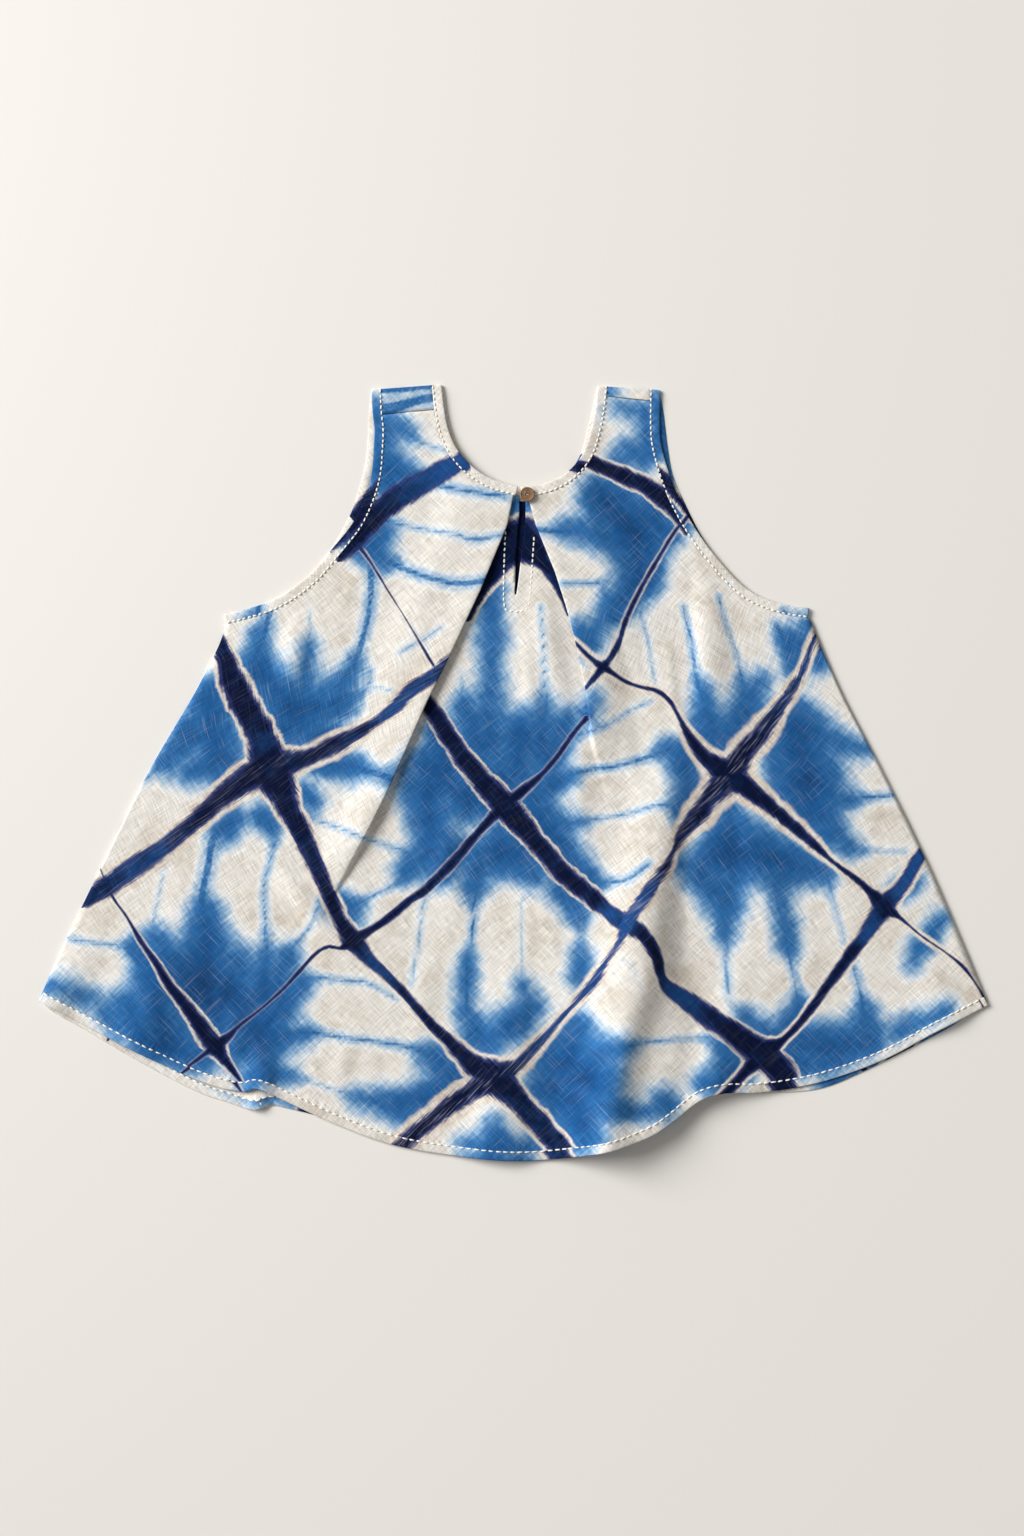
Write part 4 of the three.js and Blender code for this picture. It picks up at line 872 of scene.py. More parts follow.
def back_outline():
    """Round the back: left armhole, left side, hem, right side, right armhole and neck."""
    left = sideways(edges["back left armhole"], PANEL_EDGE, middle_of_body)
    right = sideways(edges["back right armhole"], PANEL_EDGE, middle_of_body)
    neck = sideways(edges["back neck"], PANEL_EDGE, middle_of_body)
    above = 332  # past the straps' folds
    return np.vstack([
        [(left[0, 0], above)], left, edges["left side"][1:], edges["back hem"][1:],
        edges["right side"][::-1][1:-1], right[::-1], [(right[0, 0], above)],
        [(neck[-1, 0], above)], neck[::-1], [(neck[0, 0], above)],
    ])


def make_back():
    """Flat rows from the hem up, then the turn over the shoulder, then the flap down to the seam."""
    across, flat_rows, turn_rows, flap_rows = 190, 150, 8, 8
    half_width, below_hem = 404, -332
    xs = np.linspace(-half_width, half_width, across)
    fold_radius = (FRONT_LEVEL - BACK_LEVEL) / 2
    fold_y = strap_line("fold", xs) - fold_radius - CLOTH / 2
    seam_y = strap_line("seam", xs) + 0.4
    rows = []
    for t in np.linspace(0, 1, flat_rows, endpoint=False):
        y = below_hem + (fold_y - below_hem) * t
        rows.append((xs, y, np.full(across, BACK_LEVEL), y))
    for a in np.linspace(0, math.pi, turn_rows, endpoint=False):
        y = fold_y + fold_radius * math.sin(a)
        height = BACK_LEVEL + fold_radius * (1 - math.cos(a))
        rows.append((xs, y, np.full(across, height), fold_y + a * fold_radius))
    for t in np.linspace(0, 1, flap_rows):
        y = fold_y + (seam_y - fold_y) * t
        rows.append((xs, y, np.full(across, FRONT_LEVEL), 2 * fold_y - y + 3))
    x, y, z, run = (np.array([row[k] for row in rows]).ravel() for k in range(4))
    z = z + ridges_at(back_ridges, x, y) * (z < 1)
    flap = z > 1.5
    points = np.stack([x, y, z], axis=1)
    faces = grid_faces(len(rows), across)
    points, faces = cut_to_outline(points, faces, back_outline())
    points, faces, run, flap = drop_unused(points, faces, run, flap)
    x, y = points[:, 0], points[:, 1]
    # The dye's chart is turned over on the back, and has a part of its own for the flap at the shoulder.
    chart_x = np.where(flap, x, -x + 14)
    chart_y = np.where(flap, 400 + strap_line("fold", x) - y, y - 26)
    _, _, gap, along = nearest_on(edges["back hem"], x, y, closed=False)
    layers = cloth_layers(chart_x, chart_y, np.full(len(x), 2), x, run, along, gap)
    made = mesh_object("back", points, faces, layers)
    thicken(made)
    return made


back = make_back()
back.data.materials.append(cotton)
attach(back, "root")
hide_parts("back_panel")


# The front.
# One piece of the same cotton, wider than the back by an inverted box pleat at the centre. Two folds
# meet under the neck binding and open downwards over an underlay, which a narrow slit is cut through.
front_left_armhole = [
    (-118, 321), (-116.9, 301), (-115.4, 288), (-115.8, 275), (-118.9, 245), (-131.9, 212),
    (-150.4, 188), (-171.4, 164), (-200.3, 144.5), (-230.2, 135), (-241.5, 132.5),
]
front_right_armhole = [
    (124.3, 321), (123.9, 292), (125.2, 275), (135.1, 241.5), (149.3, 212), (171.8, 180),
    (199.9, 152), (227.6, 141), (249.5, 137.5),
]
front_neck_left = [
    (5.3, 239.3), (-18.5, 246.5), (-35.3, 258), (-46.8, 272), (-53.8, 289), (-57.3, 308), (-59, 325),
]
front_neck_right = [
    (7.1, 239.2), (23.5, 241), (38.6, 246.5), (51.2, 256), (60.5, 269), (66.5, 288), (70.2, 308),
    (71.7, 324.2),
]
front_hem = [
    (-396.6, -191.8), (-351, -216.7), (-304, -240.5), (-262.1, -259.5), (-236, -267.1),
    (-223, -268), (-215.5, -265.4), (-208, -267.4), (-187.3, -277.6), (-147.8, -295.7),
    (-98.3, -313.3), (-26.9, -324.2), (23.5, -325.9), (60, -320.5), (90.7, -313.3), (120, -302),
    (136.1, -291.5), (157.9, -274.6), (174.7, -269.3), (208.3, -268.8), (258.7, -260.4),
    (315, -240.2), (359.5, -216), (399.6, -196),
]
# y, x of the fold's edge, lap under it, degrees of fold, radius
left_fold = [
    (240, 2.6, 34, 180, 0.85), (207, -4.2, 36, 180, 0.85), (152, -26.9, 36, 180, 0.85),
    (91, -55.4, 30, 180, 0.85), (59, -71.4, 22, 180, 0.85), (20, -88.5, 10, 180, 0.85),
    (-12, -102.5, 4, 168, 0.85), (-45, -118.5, 1.8, 100, 1.4), (-72, -131.5, 2, 48, 3.6),
    (-98, -143, 2, 20, 6), (-130, -156, 2, 2, 9),
]
right_fold = [
    (240, 11, 34, 180, 0.85), (207, 20.2, 36, 180, 0.85), (168, 36.1, 36, 180, 0.85),
    (139, 45.4, 34, 180, 0.85), (118, 51.2, 26, 180, 0.85), (90, 57.3, 14, 180, 0.85),
    (68, 61.8, 4, 170, 0.85), (48, 64.5, 2.4, 125, 1.1), (28, 67, 2, 55, 2.6), (6, 70, 2, 16, 6),
    (-20, 72, 2, 1, 8),
]
front_ridges = [
    ("great flute", 130, 70, 84, -305, 16, 56, 1.55, 15, 0),
    ("flute's lee", 140, 110, 84, -310, 30, 46, 4.2, 8.5, 0),
    ("right shoulder", 172, -150, 172, -305, 24, 42, 1.3, 6, 0),
    ("left hem curl", -205, -215, -214, -284, 14, 22, 1, 8, 0),
    ("left diagonal", -215, -62, -118, -172, 12, 18, 1, 5, 1),
    ("middle wave", 12, -60, -12, -322, 18, 44, 0.9, 6.5, 0),
    ("left wave", -262, -70, -318, -235, 20, 36, 1, 4, 0),
    ("left corner", -335, -120, -392, -200, 18, 30, 1, 5, 0),
    ("right corner", 330, -130, 368, -214, 20, 34, 1, 4, 0),
    ("right underarm", 158, 185, 172, 20, 12, 26, 1.4, 5, 1),
    ("left underarm", -178, 150, -190, 40, 12, 22, 1, 3, 1),
]
slit = [
    (5.9, 236), (6.2, 220), (5.5, 208.7), (4.2, 195), (2.3, 150), (2.6, 145.7), (3.6, 149), (9.4, 195),
    (11, 207), (11.4, 220), (11, 236),
]
# Creases pressed in by wear: start, end, width, height (a trough is below 0)
front_creases = [
    (-203, -80, -142, -148, 3.5, 1.6), (-196, -96, -150, -150, 4, -0.9), (150, 190, 142, 92, 5, -2.2),
    (142, 92, 160, 30, 6, -1.8), (163, 172, 186, 96, 5, 0.9), (128, 120, 150, 20, 6, 1.0),
    (-150, 158, -196, 118, 4, -1.0), (-165, 168, -214, 126, 3, 0.7), (-120, 180, -150, 120, 4, 0.6),
    (-40, 190, -96, 168, 4, 0.5), (-52, 226, -104, 200, 5, -0.5), (62, 214, 110, 190, 5, -0.6),
    (88, 150, 104, 66, 6, -1.1), (98, 60, 110, -40, 8, 1.3), (146, 40, 124, -110, 13, 2.4),
    (134, -40, 118, -200, 12, 2.6), (126, -140, 74, -350, 11, 2.6), (96, -40, 72, -340, 32, 5.0),
    (180, 0, 162, -260, 27, -7.0), (150, -130, 98, -370, 14, -4.5), (176, -200, 166, -325, 12, 2.2),
    (200, 10, 240, -190, 18, 1.8), (262, 40, 300, -160, 16, 1.6), (30, -60, 44, -200, 13, 1.8),
    (-300, -40, -262, -110, 4, 0.8), (-282, 10, -240, -60, 4, -0.6),
    (-330, -96, -292, -170, 4, 0.7), (-60, -140, -78, -250, 9, 1.2), (10, -170, 2, -300, 10, 1.4),
    (-20, -200, -30, -310, 8, -1.0), (46, -190, 40, -300, 8, -1.2), (210, -150, 204, -262, 8, -1.1),
    (250, -120, 268, -240, 9, 1.0), (300, -120, 330, -220, 8, -0.8), (220, 20, 262, -70, 6, 0.7),
    (240, 80, 270, 10, 5, -0.6), (-120, -200, -150, -282, 8, 1.1), (-170, -200, -196, -262, 7, -0.9),
    (-232, -180, -226, -250, 6, 0.9), (-210, 100, -236, 60, 5, 0.6), (17, 145, 23, 20, 9, 1.7),
    (24, 178, 53, 30, 10, 3.2), (62, 62, 65, -80, 9, 2.2), (-52, 0, -42, -150, 10, 2.4),
    (-12, 110, -22, 30, 6, -0.7), (-30, 20, -46, -60, 7, 0.6), (40, 10, 30, -80, 8, -0.7),
    (150, -20, 176, -90, 6, 0.7), (190, -60, 170, -120, 7, -0.8),
]
edges["front left armhole"] = smooth_curve(front_left_armhole, 2)
edges["front right armhole"] = smooth_curve(front_right_armhole, 2)
edges["front neck left"] = smooth_curve(front_neck_left, 1.5)
edges["front neck right"] = smooth_curve(front_neck_right, 1.5)
edges["front hem"] = smooth_curve(front_hem, 1.5)
edges["slit"] = smooth_curve(slit, 1)
strap_middle = {"left": (-88, 300), "right": (98, 300)}
WING_SHELF = 4  # how far past the lap's end the wing stays up
WING_SLOPE = 34  # then it comes down to the back over this length
# Where the cloth's spring lifts each fold off the layer under it: the lower and upper end, and how high
fold_spring = {-1: (-105, 205, 3.0), 1: (10, 215, 2.2)}
SPRING_WIDTH = 17


def fold_values(table, y):
    """x, lap, turn, radius and rise of the pleat's fold at each y."""
    rows = np.array(table[::-1], float)
    x, lap, turn, radius = (np.interp(y, rows[:, 0], rows[:, k]) for k in (1, 2, 3, 4))
    turn = np.radians(turn)
    rise = 2 * radius * (1 - np.cos(turn)) + lap * np.sin(turn)
    return x, lap, turn, radius, rise


def wing_height(values, side, x):
    """Height of the wing at x, where side is -1 for the left wing and 1 for the right."""
    fold_x, lap, _, _, rise = values
    away = (x - fold_x) * side - lap - WING_SHELF
    return FRONT_LEVEL + rise * (1 - ease(0, WING_SLOPE, away))


def worn_creases(x, y):
    """Height of the pressed creases, which are lower along the middle."""
    total = np.zeros(np.shape(x))
    for x0, y0, x1, y1, width, height in front_creases:
        dx, dy = x1 - x0, y1 - y0
        length = math.hypot(dx, dy)
        t = ((x - x0) * dx + (y - y0) * dy) / length**2
        bend = 0.05 * length * np.sin(np.pi * np.clip(t, 0, 1))
        off = ((x - x0) * dy - (y - y0) * dx) / length - bend
        end = np.sin(np.pi * np.clip(t, 0, 1)) ** 1.5
        total += height * end * np.exp(-((off / width) ** 2))
    return total * ease(0, 14, np.abs(x))


def front_top(x, y):
    """Height of the front's upper layer, carried across the gap between the folds."""
    left, right = fold_values(left_fold, y), fold_values(right_fold, y)
    on_left = x < (left[0] + right[0]) / 2
    height = np.where(on_left, wing_height(left, -1, x), wing_height(right, 1, x))
    return np.maximum(height + ridges_at(front_ridges, x, y) + worn_creases(x, y), FRONT_LEVEL)


def half_row(table, side, y, limit):
    """Wing, fold, return and fold back for one side of a row: x and height."""
    wing, arc, lap_steps = 66, 6, 6
    fold_x, lap, turn, radius, rise = (float(v) for v in fold_values(table, y))
    edge = fold_x + side * radius
    x = limit + (edge - limit) * np.linspace(0, 1, wing, endpoint=False) ** 0.94
    z = wing_height((fold_x, lap, turn, radius, rise), side, x)
    low, high, most = fold_spring[side]
    spring = most * math.sin(math.pi * min(1, max(0, (high - y) / (high - low)))) ** 0.8
    z = z + spring * np.exp(-(((x - edge) / SPRING_WIDTH) ** 2))
    top = FRONT_LEVEL + rise + spring
    a = np.linspace(0, turn, arc)
    x = np.concatenate([x, edge - side * radius * np.sin(a)])
    z = np.concatenate([z, top - radius * (1 - np.cos(a))])
    turned = (x[-1], z[-1])
    end = (turned[0] - side * lap * math.cos(turn), turned[1] - lap * math.sin(turn) - spring)
    t = np.linspace(0, 1, lap_steps + 2)[1:-1]
    x = np.concatenate([x, turned[0] + (end[0] - turned[0]) * t])
    z = np.concatenate([z, turned[1] + (end[1] - turned[1]) * t])
    centre = (end[0] - side * radius * math.sin(turn), end[1] + radius * math.cos(turn))
    a = np.linspace(turn, 0, arc)
    x = np.concatenate([x, centre[0] + side * radius * np.sin(a)])
    z = np.concatenate([z, centre[1] - radius * np.cos(a)])
    return x, z


def front_outline():
    """Round the front, from the left armhole by the hem to the neck."""
    return np.vstack([
        sideways(edges["front left armhole"], PANEL_EDGE, middle_of_body),
        edges["left side"][1:], edges["front hem"][1:], edges["right side"][::-1][1:-1],
        sideways(edges["front right armhole"], PANEL_EDGE, middle_of_body)[::-1],
        sideways(edges["front neck right"], PANEL_EDGE, strap_middle["right"])[::-1],
        sideways(edges["front neck left"], PANEL_EDGE, strap_middle["left"]),
    ])


def make_front():
    """Rows from the hem to the shoulders, each across the left wing, the pleat and the right wing."""
    underlay_steps, row_count = 54, 212
    below_hem, above_straps = -330, 322
    ys = np.linspace(below_hem, above_straps, row_count)
    # Above the underarms the rows shorten with the armholes.
    left_limit = np.interp(ys, edges["left side"][::-1, 1], edges["left side"][::-1, 0]) - 6
    right_limit = np.interp(ys, edges["right side"][::-1, 1], edges["right side"][::-1, 0]) + 6
    left_limit = np.where(ys > 140, np.maximum(left_limit, -250 + (ys - 140) * 0.9), left_limit)
    right_limit = np.where(ys > 144, np.minimum(right_limit, 258 - (ys - 144) * 0.9), right_limit)
    left_limit = np.minimum(left_limit, -128)
    right_limit = np.maximum(right_limit, 134)
    slit_x, gather = 6, 26
    underlay_columns = 9  # at the inner end of each half row, these belong to the underlay
    rows_x, rows_z, rows_under = [], [], []
    for y, lo, hi in zip(ys, left_limit, right_limit):
        lx, lz = half_row(left_fold, -1, y, lo)
        rx, rz = half_row(right_fold, 1, y, hi)
        t = np.linspace(lx[-1], rx[-1], underlay_steps + 1)[1:-1]
        # The columns gather towards the slit, for a clean edge there.
        off = t - slit_x
        mx = t - np.clip(off, -gather, gather) * 0.62 * np.cos(np.pi / 2 * np.clip(off / gather, -1, 1))
        rows_x.append(np.concatenate([lx, mx, rx[::-1]]))
        rows_z.append(np.concatenate([lz, np.full(len(mx), FRONT_LEVEL), rz[::-1]]))
        wing_columns = len(lx) - underlay_columns
        under = np.zeros(len(rows_x[-1]), bool)
        under[wing_columns:-wing_columns] = True
        rows_under.append(under)
    x, z = np.array(rows_x), np.array(rows_z)
    across = x.shape[1]
    y = np.repeat(ys[:, None], across, axis=1)
    steps = np.hypot(np.diff(x, axis=1), np.diff(z, axis=1))
    run = np.concatenate([np.zeros((len(ys), 1)), np.cumsum(steps, axis=1)], axis=1)
    run = run - run[:, across // 2][:, None]
    x, y, z, run, under = (np.ravel(values) for values in (x, y, z, run, rows_under))
    z = z + ridges_at(front_ridges, x, y)
    z = np.maximum(z + worn_creases(x, y), FRONT_LEVEL) + 0.35 * np.abs(rumple(x, y, 3.1, 46, 1.0))
    points = np.stack([x, y, z], axis=1)
    faces = grid_faces(len(ys), across)
    points, faces = cut_to_outline(points, faces, front_outline())
    seam_band = points[:, 1] - strap_line("seam", points[:, 0])
    faces = faces[~(seam_band[faces].mean(axis=1) > 0)]
    over = np.unique(faces)
    over = over[seam_band[over] > -2.2]
    points[over, 1] = strap_line("seam", points[over, 0]) - 0.2
    under_wing = 4.2  # below this height a point of the underlay is no part of a wing
    low = under & (points[:, 2] < under_wing)
    points, faces = cut_to_outline(points, faces, edges["slit"], keep_inside=False, allowed=low)
    points, faces, run, under = drop_unused(points, faces, run, under)
    x, y = points[:, 0], points[:, 1]
    _, _, hem_gap, along = nearest_on(edges["front hem"], x, y, closed=False)
    pleat_end = -70  # the folds have opened out below this
    layers = cloth_layers(x, y, (under & (y > pleat_end)).astype(int), run, y, along, hem_gap)
    made = mesh_object("front", points, faces, layers)
    thicken(made)
    return made


front = make_front()
front.data.materials.append(cotton)
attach(front, "root")
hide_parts("front_panel")


# The bindings of the neck and the armholes.
# Narrow strips of the same cotton, folded double over the raw edges and stitched through. Each runs in
# one length over the shoulder; the neck's starts and ends at the slit.
TABLE_GAP = 0.02  # what is under the back is pressed flat on the table
NO_SEAM = 30.0  # a distance at which a seam doesn't pucker the cloth
DIMPLES = 5.0  # from one stitch's dimple to the next


def strip_mesh(outer, inner, normal, section):
    """A closed strip: the section's rows are (share from the outer edge in, height along the normal)."""
    rows, count = len(outer), len(section)
    points = np.empty((rows, count, 3))
    for k, (share, height) in enumerate(section):
        share = np.broadcast_to(np.asarray(share, float), (rows,))
        height = np.broadcast_to(np.asarray(height, float), (rows,))
        points[:, k] = outer + (inner - outer) * share[:, None] + normal * height[:, None]
    j, i = np.meshgrid(np.arange(rows - 1), np.arange(count), indexing="ij")
    a = (j * count + i).ravel()
    b = (j * count + (i + 1) % count).ravel()
    faces = np.stack([a, b, b + count, a + count], axis=1).tolist()
    faces.append(list(range(count))[::-1])
    faces.append([(rows - 1) * count + k for k in range(count)])
    return points, faces


def binding_section(run, seed):
    """The band's cross-section at each step, puckered between the stitches."""
    pull = sum(
        height * np.sin(2 * np.pi * run / length + times * seed)
        for height, length, times in ((0.07, DIMPLES, 1), (0.1, 17.3, 2), (0.07, 9.7, 3))
    )
    dimple = -0.16 * (0.5 - 0.5 * np.cos(2 * np.pi * run / DIMPLES))
    return [
        (1.03, 0.08), (1.0, 0.3), (0.94, 0.42 + dimple), (0.87, 0.5), (0.66, 0.56 + pull * 0.8),
        (0.44, 0.58 + pull), (0.22, 0.55 + pull * 0.6), (0.07, 0.4), (0.0, 0.1), (0.05, -0.22),
        (0.5, -0.34), (1.0, -0.34),
    ]


def edge_steps(curve, inside, height, out):
    """A strip's outer and inner edge along a curve, and the way out of the cloth: up for 1, down for -1."""
    inner = sideways(curve, BINDING, inside)
    lift = np.column_stack([np.zeros(len(curve)), np.zeros(len(curve)), np.full(len(curve), float(out))])
    outer = np.column_stack([curve, height(curve[:, 0], curve[:, 1])])
    inner = np.column_stack([inner, height(inner[:, 0], inner[:, 1])])
    return outer, inner, lift


def fold_steps(x_outer, x_inner):
    """The same over the top of a strap, from the front round to the back."""
    radius = (FRONT_LEVEL + 0.1 - BACK_LEVEL) / 2
    count = 9
    angles = np.linspace(0, math.pi, count)
    lift = np.column_stack([np.zeros(count), np.sin(angles), np.cos(angles)])

    def place(x):
        y = float(strap_line("fold", np.array([x]))[0]) - radius - 0.8
        height = BACK_LEVEL + radius * (1 + np.cos(angles))
        return np.column_stack([np.full(count, x), y + radius * np.sin(angles), height])

    return place(x_outer), place(x_inner), lift


def below(steps, limit):
    """The part of a strip that lies below a y."""
    keep = np.maximum(steps[0][:, 1], steps[1][:, 1]) < limit
    return tuple(part[keep] for part in steps)


def turned(steps):
    """The same strip run the other way."""
    return tuple(part[::-1] for part in steps)


def make_binding(name, lengths, seed, chart):
    """One strip through its lengths, with the path that its stitches follow."""
    outer, inner, lift = (np.vstack([length[k] for length in lengths]) for k in range(3))
    run = run_along((outer + inner) / 2)
    section = binding_section(run, seed)
    points, faces = strip_mesh(outer, inner, lift, section)
    flat = points.reshape(-1, 3)
    flat[:, 2] = np.maximum(flat[:, 2], TABLE_GAP)
    rows = np.repeat(np.arange(len(outer)), len(section))
    cx, cy = chart(flat, rows, lift)
    across = np.tile([float(np.mean(s[0])) * BINDING for s in section], len(outer))
    no_seam = np.full(len(cx), NO_SEAM)
    layers = cloth_layers(cx, cy, np.zeros(len(cx), int), run[rows], across, run[rows], no_seam)
    made = mesh_object(name, flat, faces, layers)
    made.data.materials.append(cotton)
    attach(made, "root")
    return made, (outer, inner, lift, run)


def on_front(x, y):
    """Height of a strip sewn on the front."""
    return front_top(x, y) + 0.1


def on_back(x, y):
    """Height of a strip sewn on the back."""
    return BACK_LEVEL + ridges_at(back_ridges, x, y)


def dyed_beside(shift_x, shift_y):
    """A binding's dye lies a little off the panel's, since the strip was cut from elsewhere."""

    def chart(points, rows, lift):
        under = lift[rows, 2] < 0
        x = np.where(under, -points[:, 0] + 20, points[:, 0] + shift_x)
        return x, points[:, 1] + shift_y

    return chart


neck_lengths = [
    below(edge_steps(smooth_curve(front_neck_left, 1.2), strap_middle["left"], on_front, 1), 319),
    fold_steps(-59, -59 - BINDING),
    below(edge_steps(smooth_curve(back_neck, 1.2), middle_of_body, on_back, -1), 319),
    turned(fold_steps(71.7, 71.7 + BINDING)),
    turned(below(edge_steps(smooth_curve(front_neck_right, 1.2), strap_middle["right"], on_front, 1), 319)),
]
neck_binding, neck_path = make_binding("neck_band", neck_lengths, 0.4, dyed_beside(5, 7))
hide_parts("neck_binding")

armhole_bands = {}
for side, inner_x in (("left", -118 + BINDING), ("right", 124.3 - BINDING)):
    front_curve = smooth_curve(front_left_armhole if side == "left" else front_right_armhole, 1.2)
    back_curve = smooth_curve(back_left_armhole if side == "left" else back_right_armhole, 1.2)
    lengths = [
        turned(below(edge_steps(front_curve, middle_of_body, on_front, 1), 317)),
        fold_steps(front_curve[0, 0], inner_x),
        below(edge_steps(back_curve, middle_of_body, on_back, -1), 317),
    ]
    seed, shift = (1.3, 8) if side == "left" else (2.2, -8)
    band, path = make_binding("armhole_band_" + side, lengths, seed, dyed_beside(shift, -9))
    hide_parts("armhole_binding_" + side)
    armhole_bands[side] = (band, path)


# The hems.
# The lower edges of the front and the back, turned under twice to about 8 mm. The band is a part of
# each panel; it is puckered where the thread draws it up.
def make_hem(name, curve_points, height, seed, chart):
    """The turned band along a lower edge, with the path that its stitches follow."""
    curve = smooth_curve(curve_points, 1.2)
    outer, inner, lift = edge_steps(curve, middle_of_body, height, 1)
    run = run_along(outer)
    section = binding_section(run, seed)
    points, faces = strip_mesh(outer, inner, lift, section)
    flat = points.reshape(-1, 3)
    rows = np.repeat(np.arange(len(outer)), len(section))
    x, y = chart(flat[:, 0], flat[:, 1])
    no_seam = np.full(len(x), NO_SEAM)
    layers = cloth_layers(x, y, np.zeros(len(x), int), flat[:, 0], flat[:, 1], run[rows], no_seam)
    layers["dye_wash"] -= 9  # the turned edge was folded away from the dye
    made = mesh_object(name, flat, faces, layers)
    made.data.materials.append(cotton)
    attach(made, "root")
    return outer, inner, lift, run


def beside_front(x, y):
    """Where the front's turned edge lay when it was dyed."""
    return x + 3, y + 4


def turned_over(x, y):
    """Where the back's turned edge lay."""
    return 60 - x, y + 30


front_hem_path = make_hem("front_hem", front_hem, on_front, 0.9, beside_front)
back_hem_path = make_hem("back_hem", back_hem, on_back, 1.7, turned_over)


# The sewing.
# A thick cream cotton thread in running stitches, 4.6 mm apart along the bindings and in a U round the
# slit, and 6.2 mm apart along the hems. Each stitch dips into the cloth at both ends.
STITCH_PITCH, HEM_PITCH = 4.6, 6.2
STITCH_SHARE = 0.68  # of the pitch that shows as thread
THREAD_RADIUS = 0.7
SEWN_HEIGHT = 0.75  # of the thread's middle over the cloth

thread_material = bpy.data.materials.new("cream thread")
thread_material.use_nodes = True
thread_skin = thread_material.node_tree.nodes["Principled BSDF"]
thread_skin.inputs["Base Color"].default_value = colour(250, 246, 236)
thread_skin.inputs["Roughness"].default_value = 0.75
thread_skin.inputs["Sheen Weight"].default_value = 0.2


def stitch_row(name, places, ups, seed, pitch):
    """Stitches along a line of places, with the way up out of the cloth at each."""
    step = run_along(places)
    chance = np.random.default_rng(seed)
    points, faces = [], []
    lengthwise, round_steps = 7, 6
    start = 0.8
    while start + pitch < step[-1]:
        length = pitch * STITCH_SHARE * chance.uniform(0.88, 1.12)
        s = start + length * np.linspace(0, 1, lengthwise)
        middle = np.column_stack([np.interp(s, step, places[:, k]) for k in range(3)])
        up = np.column_stack([np.interp(s, step, ups[:, k]) for k in range(3)])
        up /= np.linalg.norm(up, axis=1)[:, None]
        run = np.gradient(middle, axis=0)
        run /= np.linalg.norm(run, axis=1)[:, None]
        side = np.cross(run, up)
        t = np.linspace(-1, 1, lengthwise)
        arch = 0.42 * (1 - t**2) - 0.22
        radius = THREAD_RADIUS * np.sqrt(np.clip(1 - 0.8 * t**4, 0.2, 1)) * chance.uniform(0.9, 1.1)
        twist = chance.uniform(-0.18, 0.18)
        base = len(points)
        for k in range(lengthwise):
            hub = middle[k] + up[k] * arch[k] + side[k] * twist * t[k]
            for m in range(round_steps):
                a = 2 * math.pi * m / round_steps
                out = side[k] * radius[k] * math.cos(a)
                points.append(hub + out + up[k] * radius[k] * math.sin(a) * 0.8)
        for k in range(lengthwise - 1):
            for m in range(round_steps):
                a, b = base + k * round_steps + m, base + k * round_steps + (m + 1) % round_steps
                faces.append([a, b, b + round_steps, a + round_steps])
        faces.append([base + m for m in range(round_steps)][::-1])
        faces.append([base + (lengthwise - 1) * round_steps + m for m in range(round_steps)])
        start += pitch * chance.uniform(0.94, 1.06)
    points = np.array(points)
    points[:, 2] = np.maximum(points[:, 2], TABLE_GAP)
    made = mesh_object(name, points, faces)
    made.data.materials.append(thread_material)
    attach(made, "root")
    return made


# Each row's path, and how far across the strip it is sewn
sewn_rows = [
    ("neck_stitches", neck_path, 0.93, 11, STITCH_PITCH),
    ("left_armhole_stitches", armhole_bands["left"][1], 0.93, 12, STITCH_PITCH),
    ("right_armhole_stitches", armhole_bands["right"][1], 0.93, 13, STITCH_PITCH),
    ("front_hem_stitches", front_hem_path, 0.95, 14, HEM_PITCH),
    ("back_hem_stitches", back_hem_path, 0.95, 15, HEM_PITCH),
]
for name, (outer, inner, lift, _), share, seed, pitch in sewn_rows:
    places = outer + (inner - outer) * share + lift * SEWN_HEIGHT
    places[:, 2] = np.maximum(places[:, 2], THREAD_RADIUS * 0.7)
    stitch_row(name, places, lift, seed, pitch)

slit_line = smooth_curve([
    (-5.5, 203), (-6.6, 172), (-6.6, 142), (-5, 136.2), (0, 134.9), (8, 134.9), (12.5, 137), (14.6, 144),
    (16.6, 168), (19, 203),
], 1)
slit_places = np.column_stack([slit_line, np.full(len(slit_line), FRONT_LEVEL + 0.35)])
straight_up = np.tile([0.0, 0.0, 1.0], (len(slit_places), 1))
stitch_row("slit_stitches", slit_places, straight_up, 16, STITCH_PITCH)


# The button.
# One turned wooden button, 12.6 mm across, with a raised rim, fine grooves and one eye. It is sewn on
# the right end of the neck binding with the same cream thread.
BUTTON = (12.7, 232.3)
BUTTON_SEAT = 7.1  # height of its underside
# Radius and height round the section, from the eye's lower edge out and back over the top
button_section = [
    (1.1, 0.0), (5.2, 0.0), (6.0, 0.45), (6.3, 1.2), (6.3, 2.1), (6.05, 2.65), (5.6, 2.9), (5.2, 2.86),
    (4.95, 2.55), (4.7, 2.45), (4.5, 2.56), (4.3, 2.45), (4.0, 2.4), (3.8, 2.5), (3.6, 2.4), (3.2, 2.36),
    (3.0, 2.46), (2.8, 2.36), (2.4, 2.4), (2.15, 2.62), (1.8, 2.66), (1.45, 2.5), (1.2, 2.1), (1.1, 1.4),
]
rings, turns = len(button_section), 64
button_points, button_faces = [], []
for k in range(turns):
    a = 2 * math.pi * k / turns
    for r, h in button_section:
        button_points.append((BUTTON[0] + r * math.cos(a), BUTTON[1] + r * math.sin(a), BUTTON_SEAT + h))
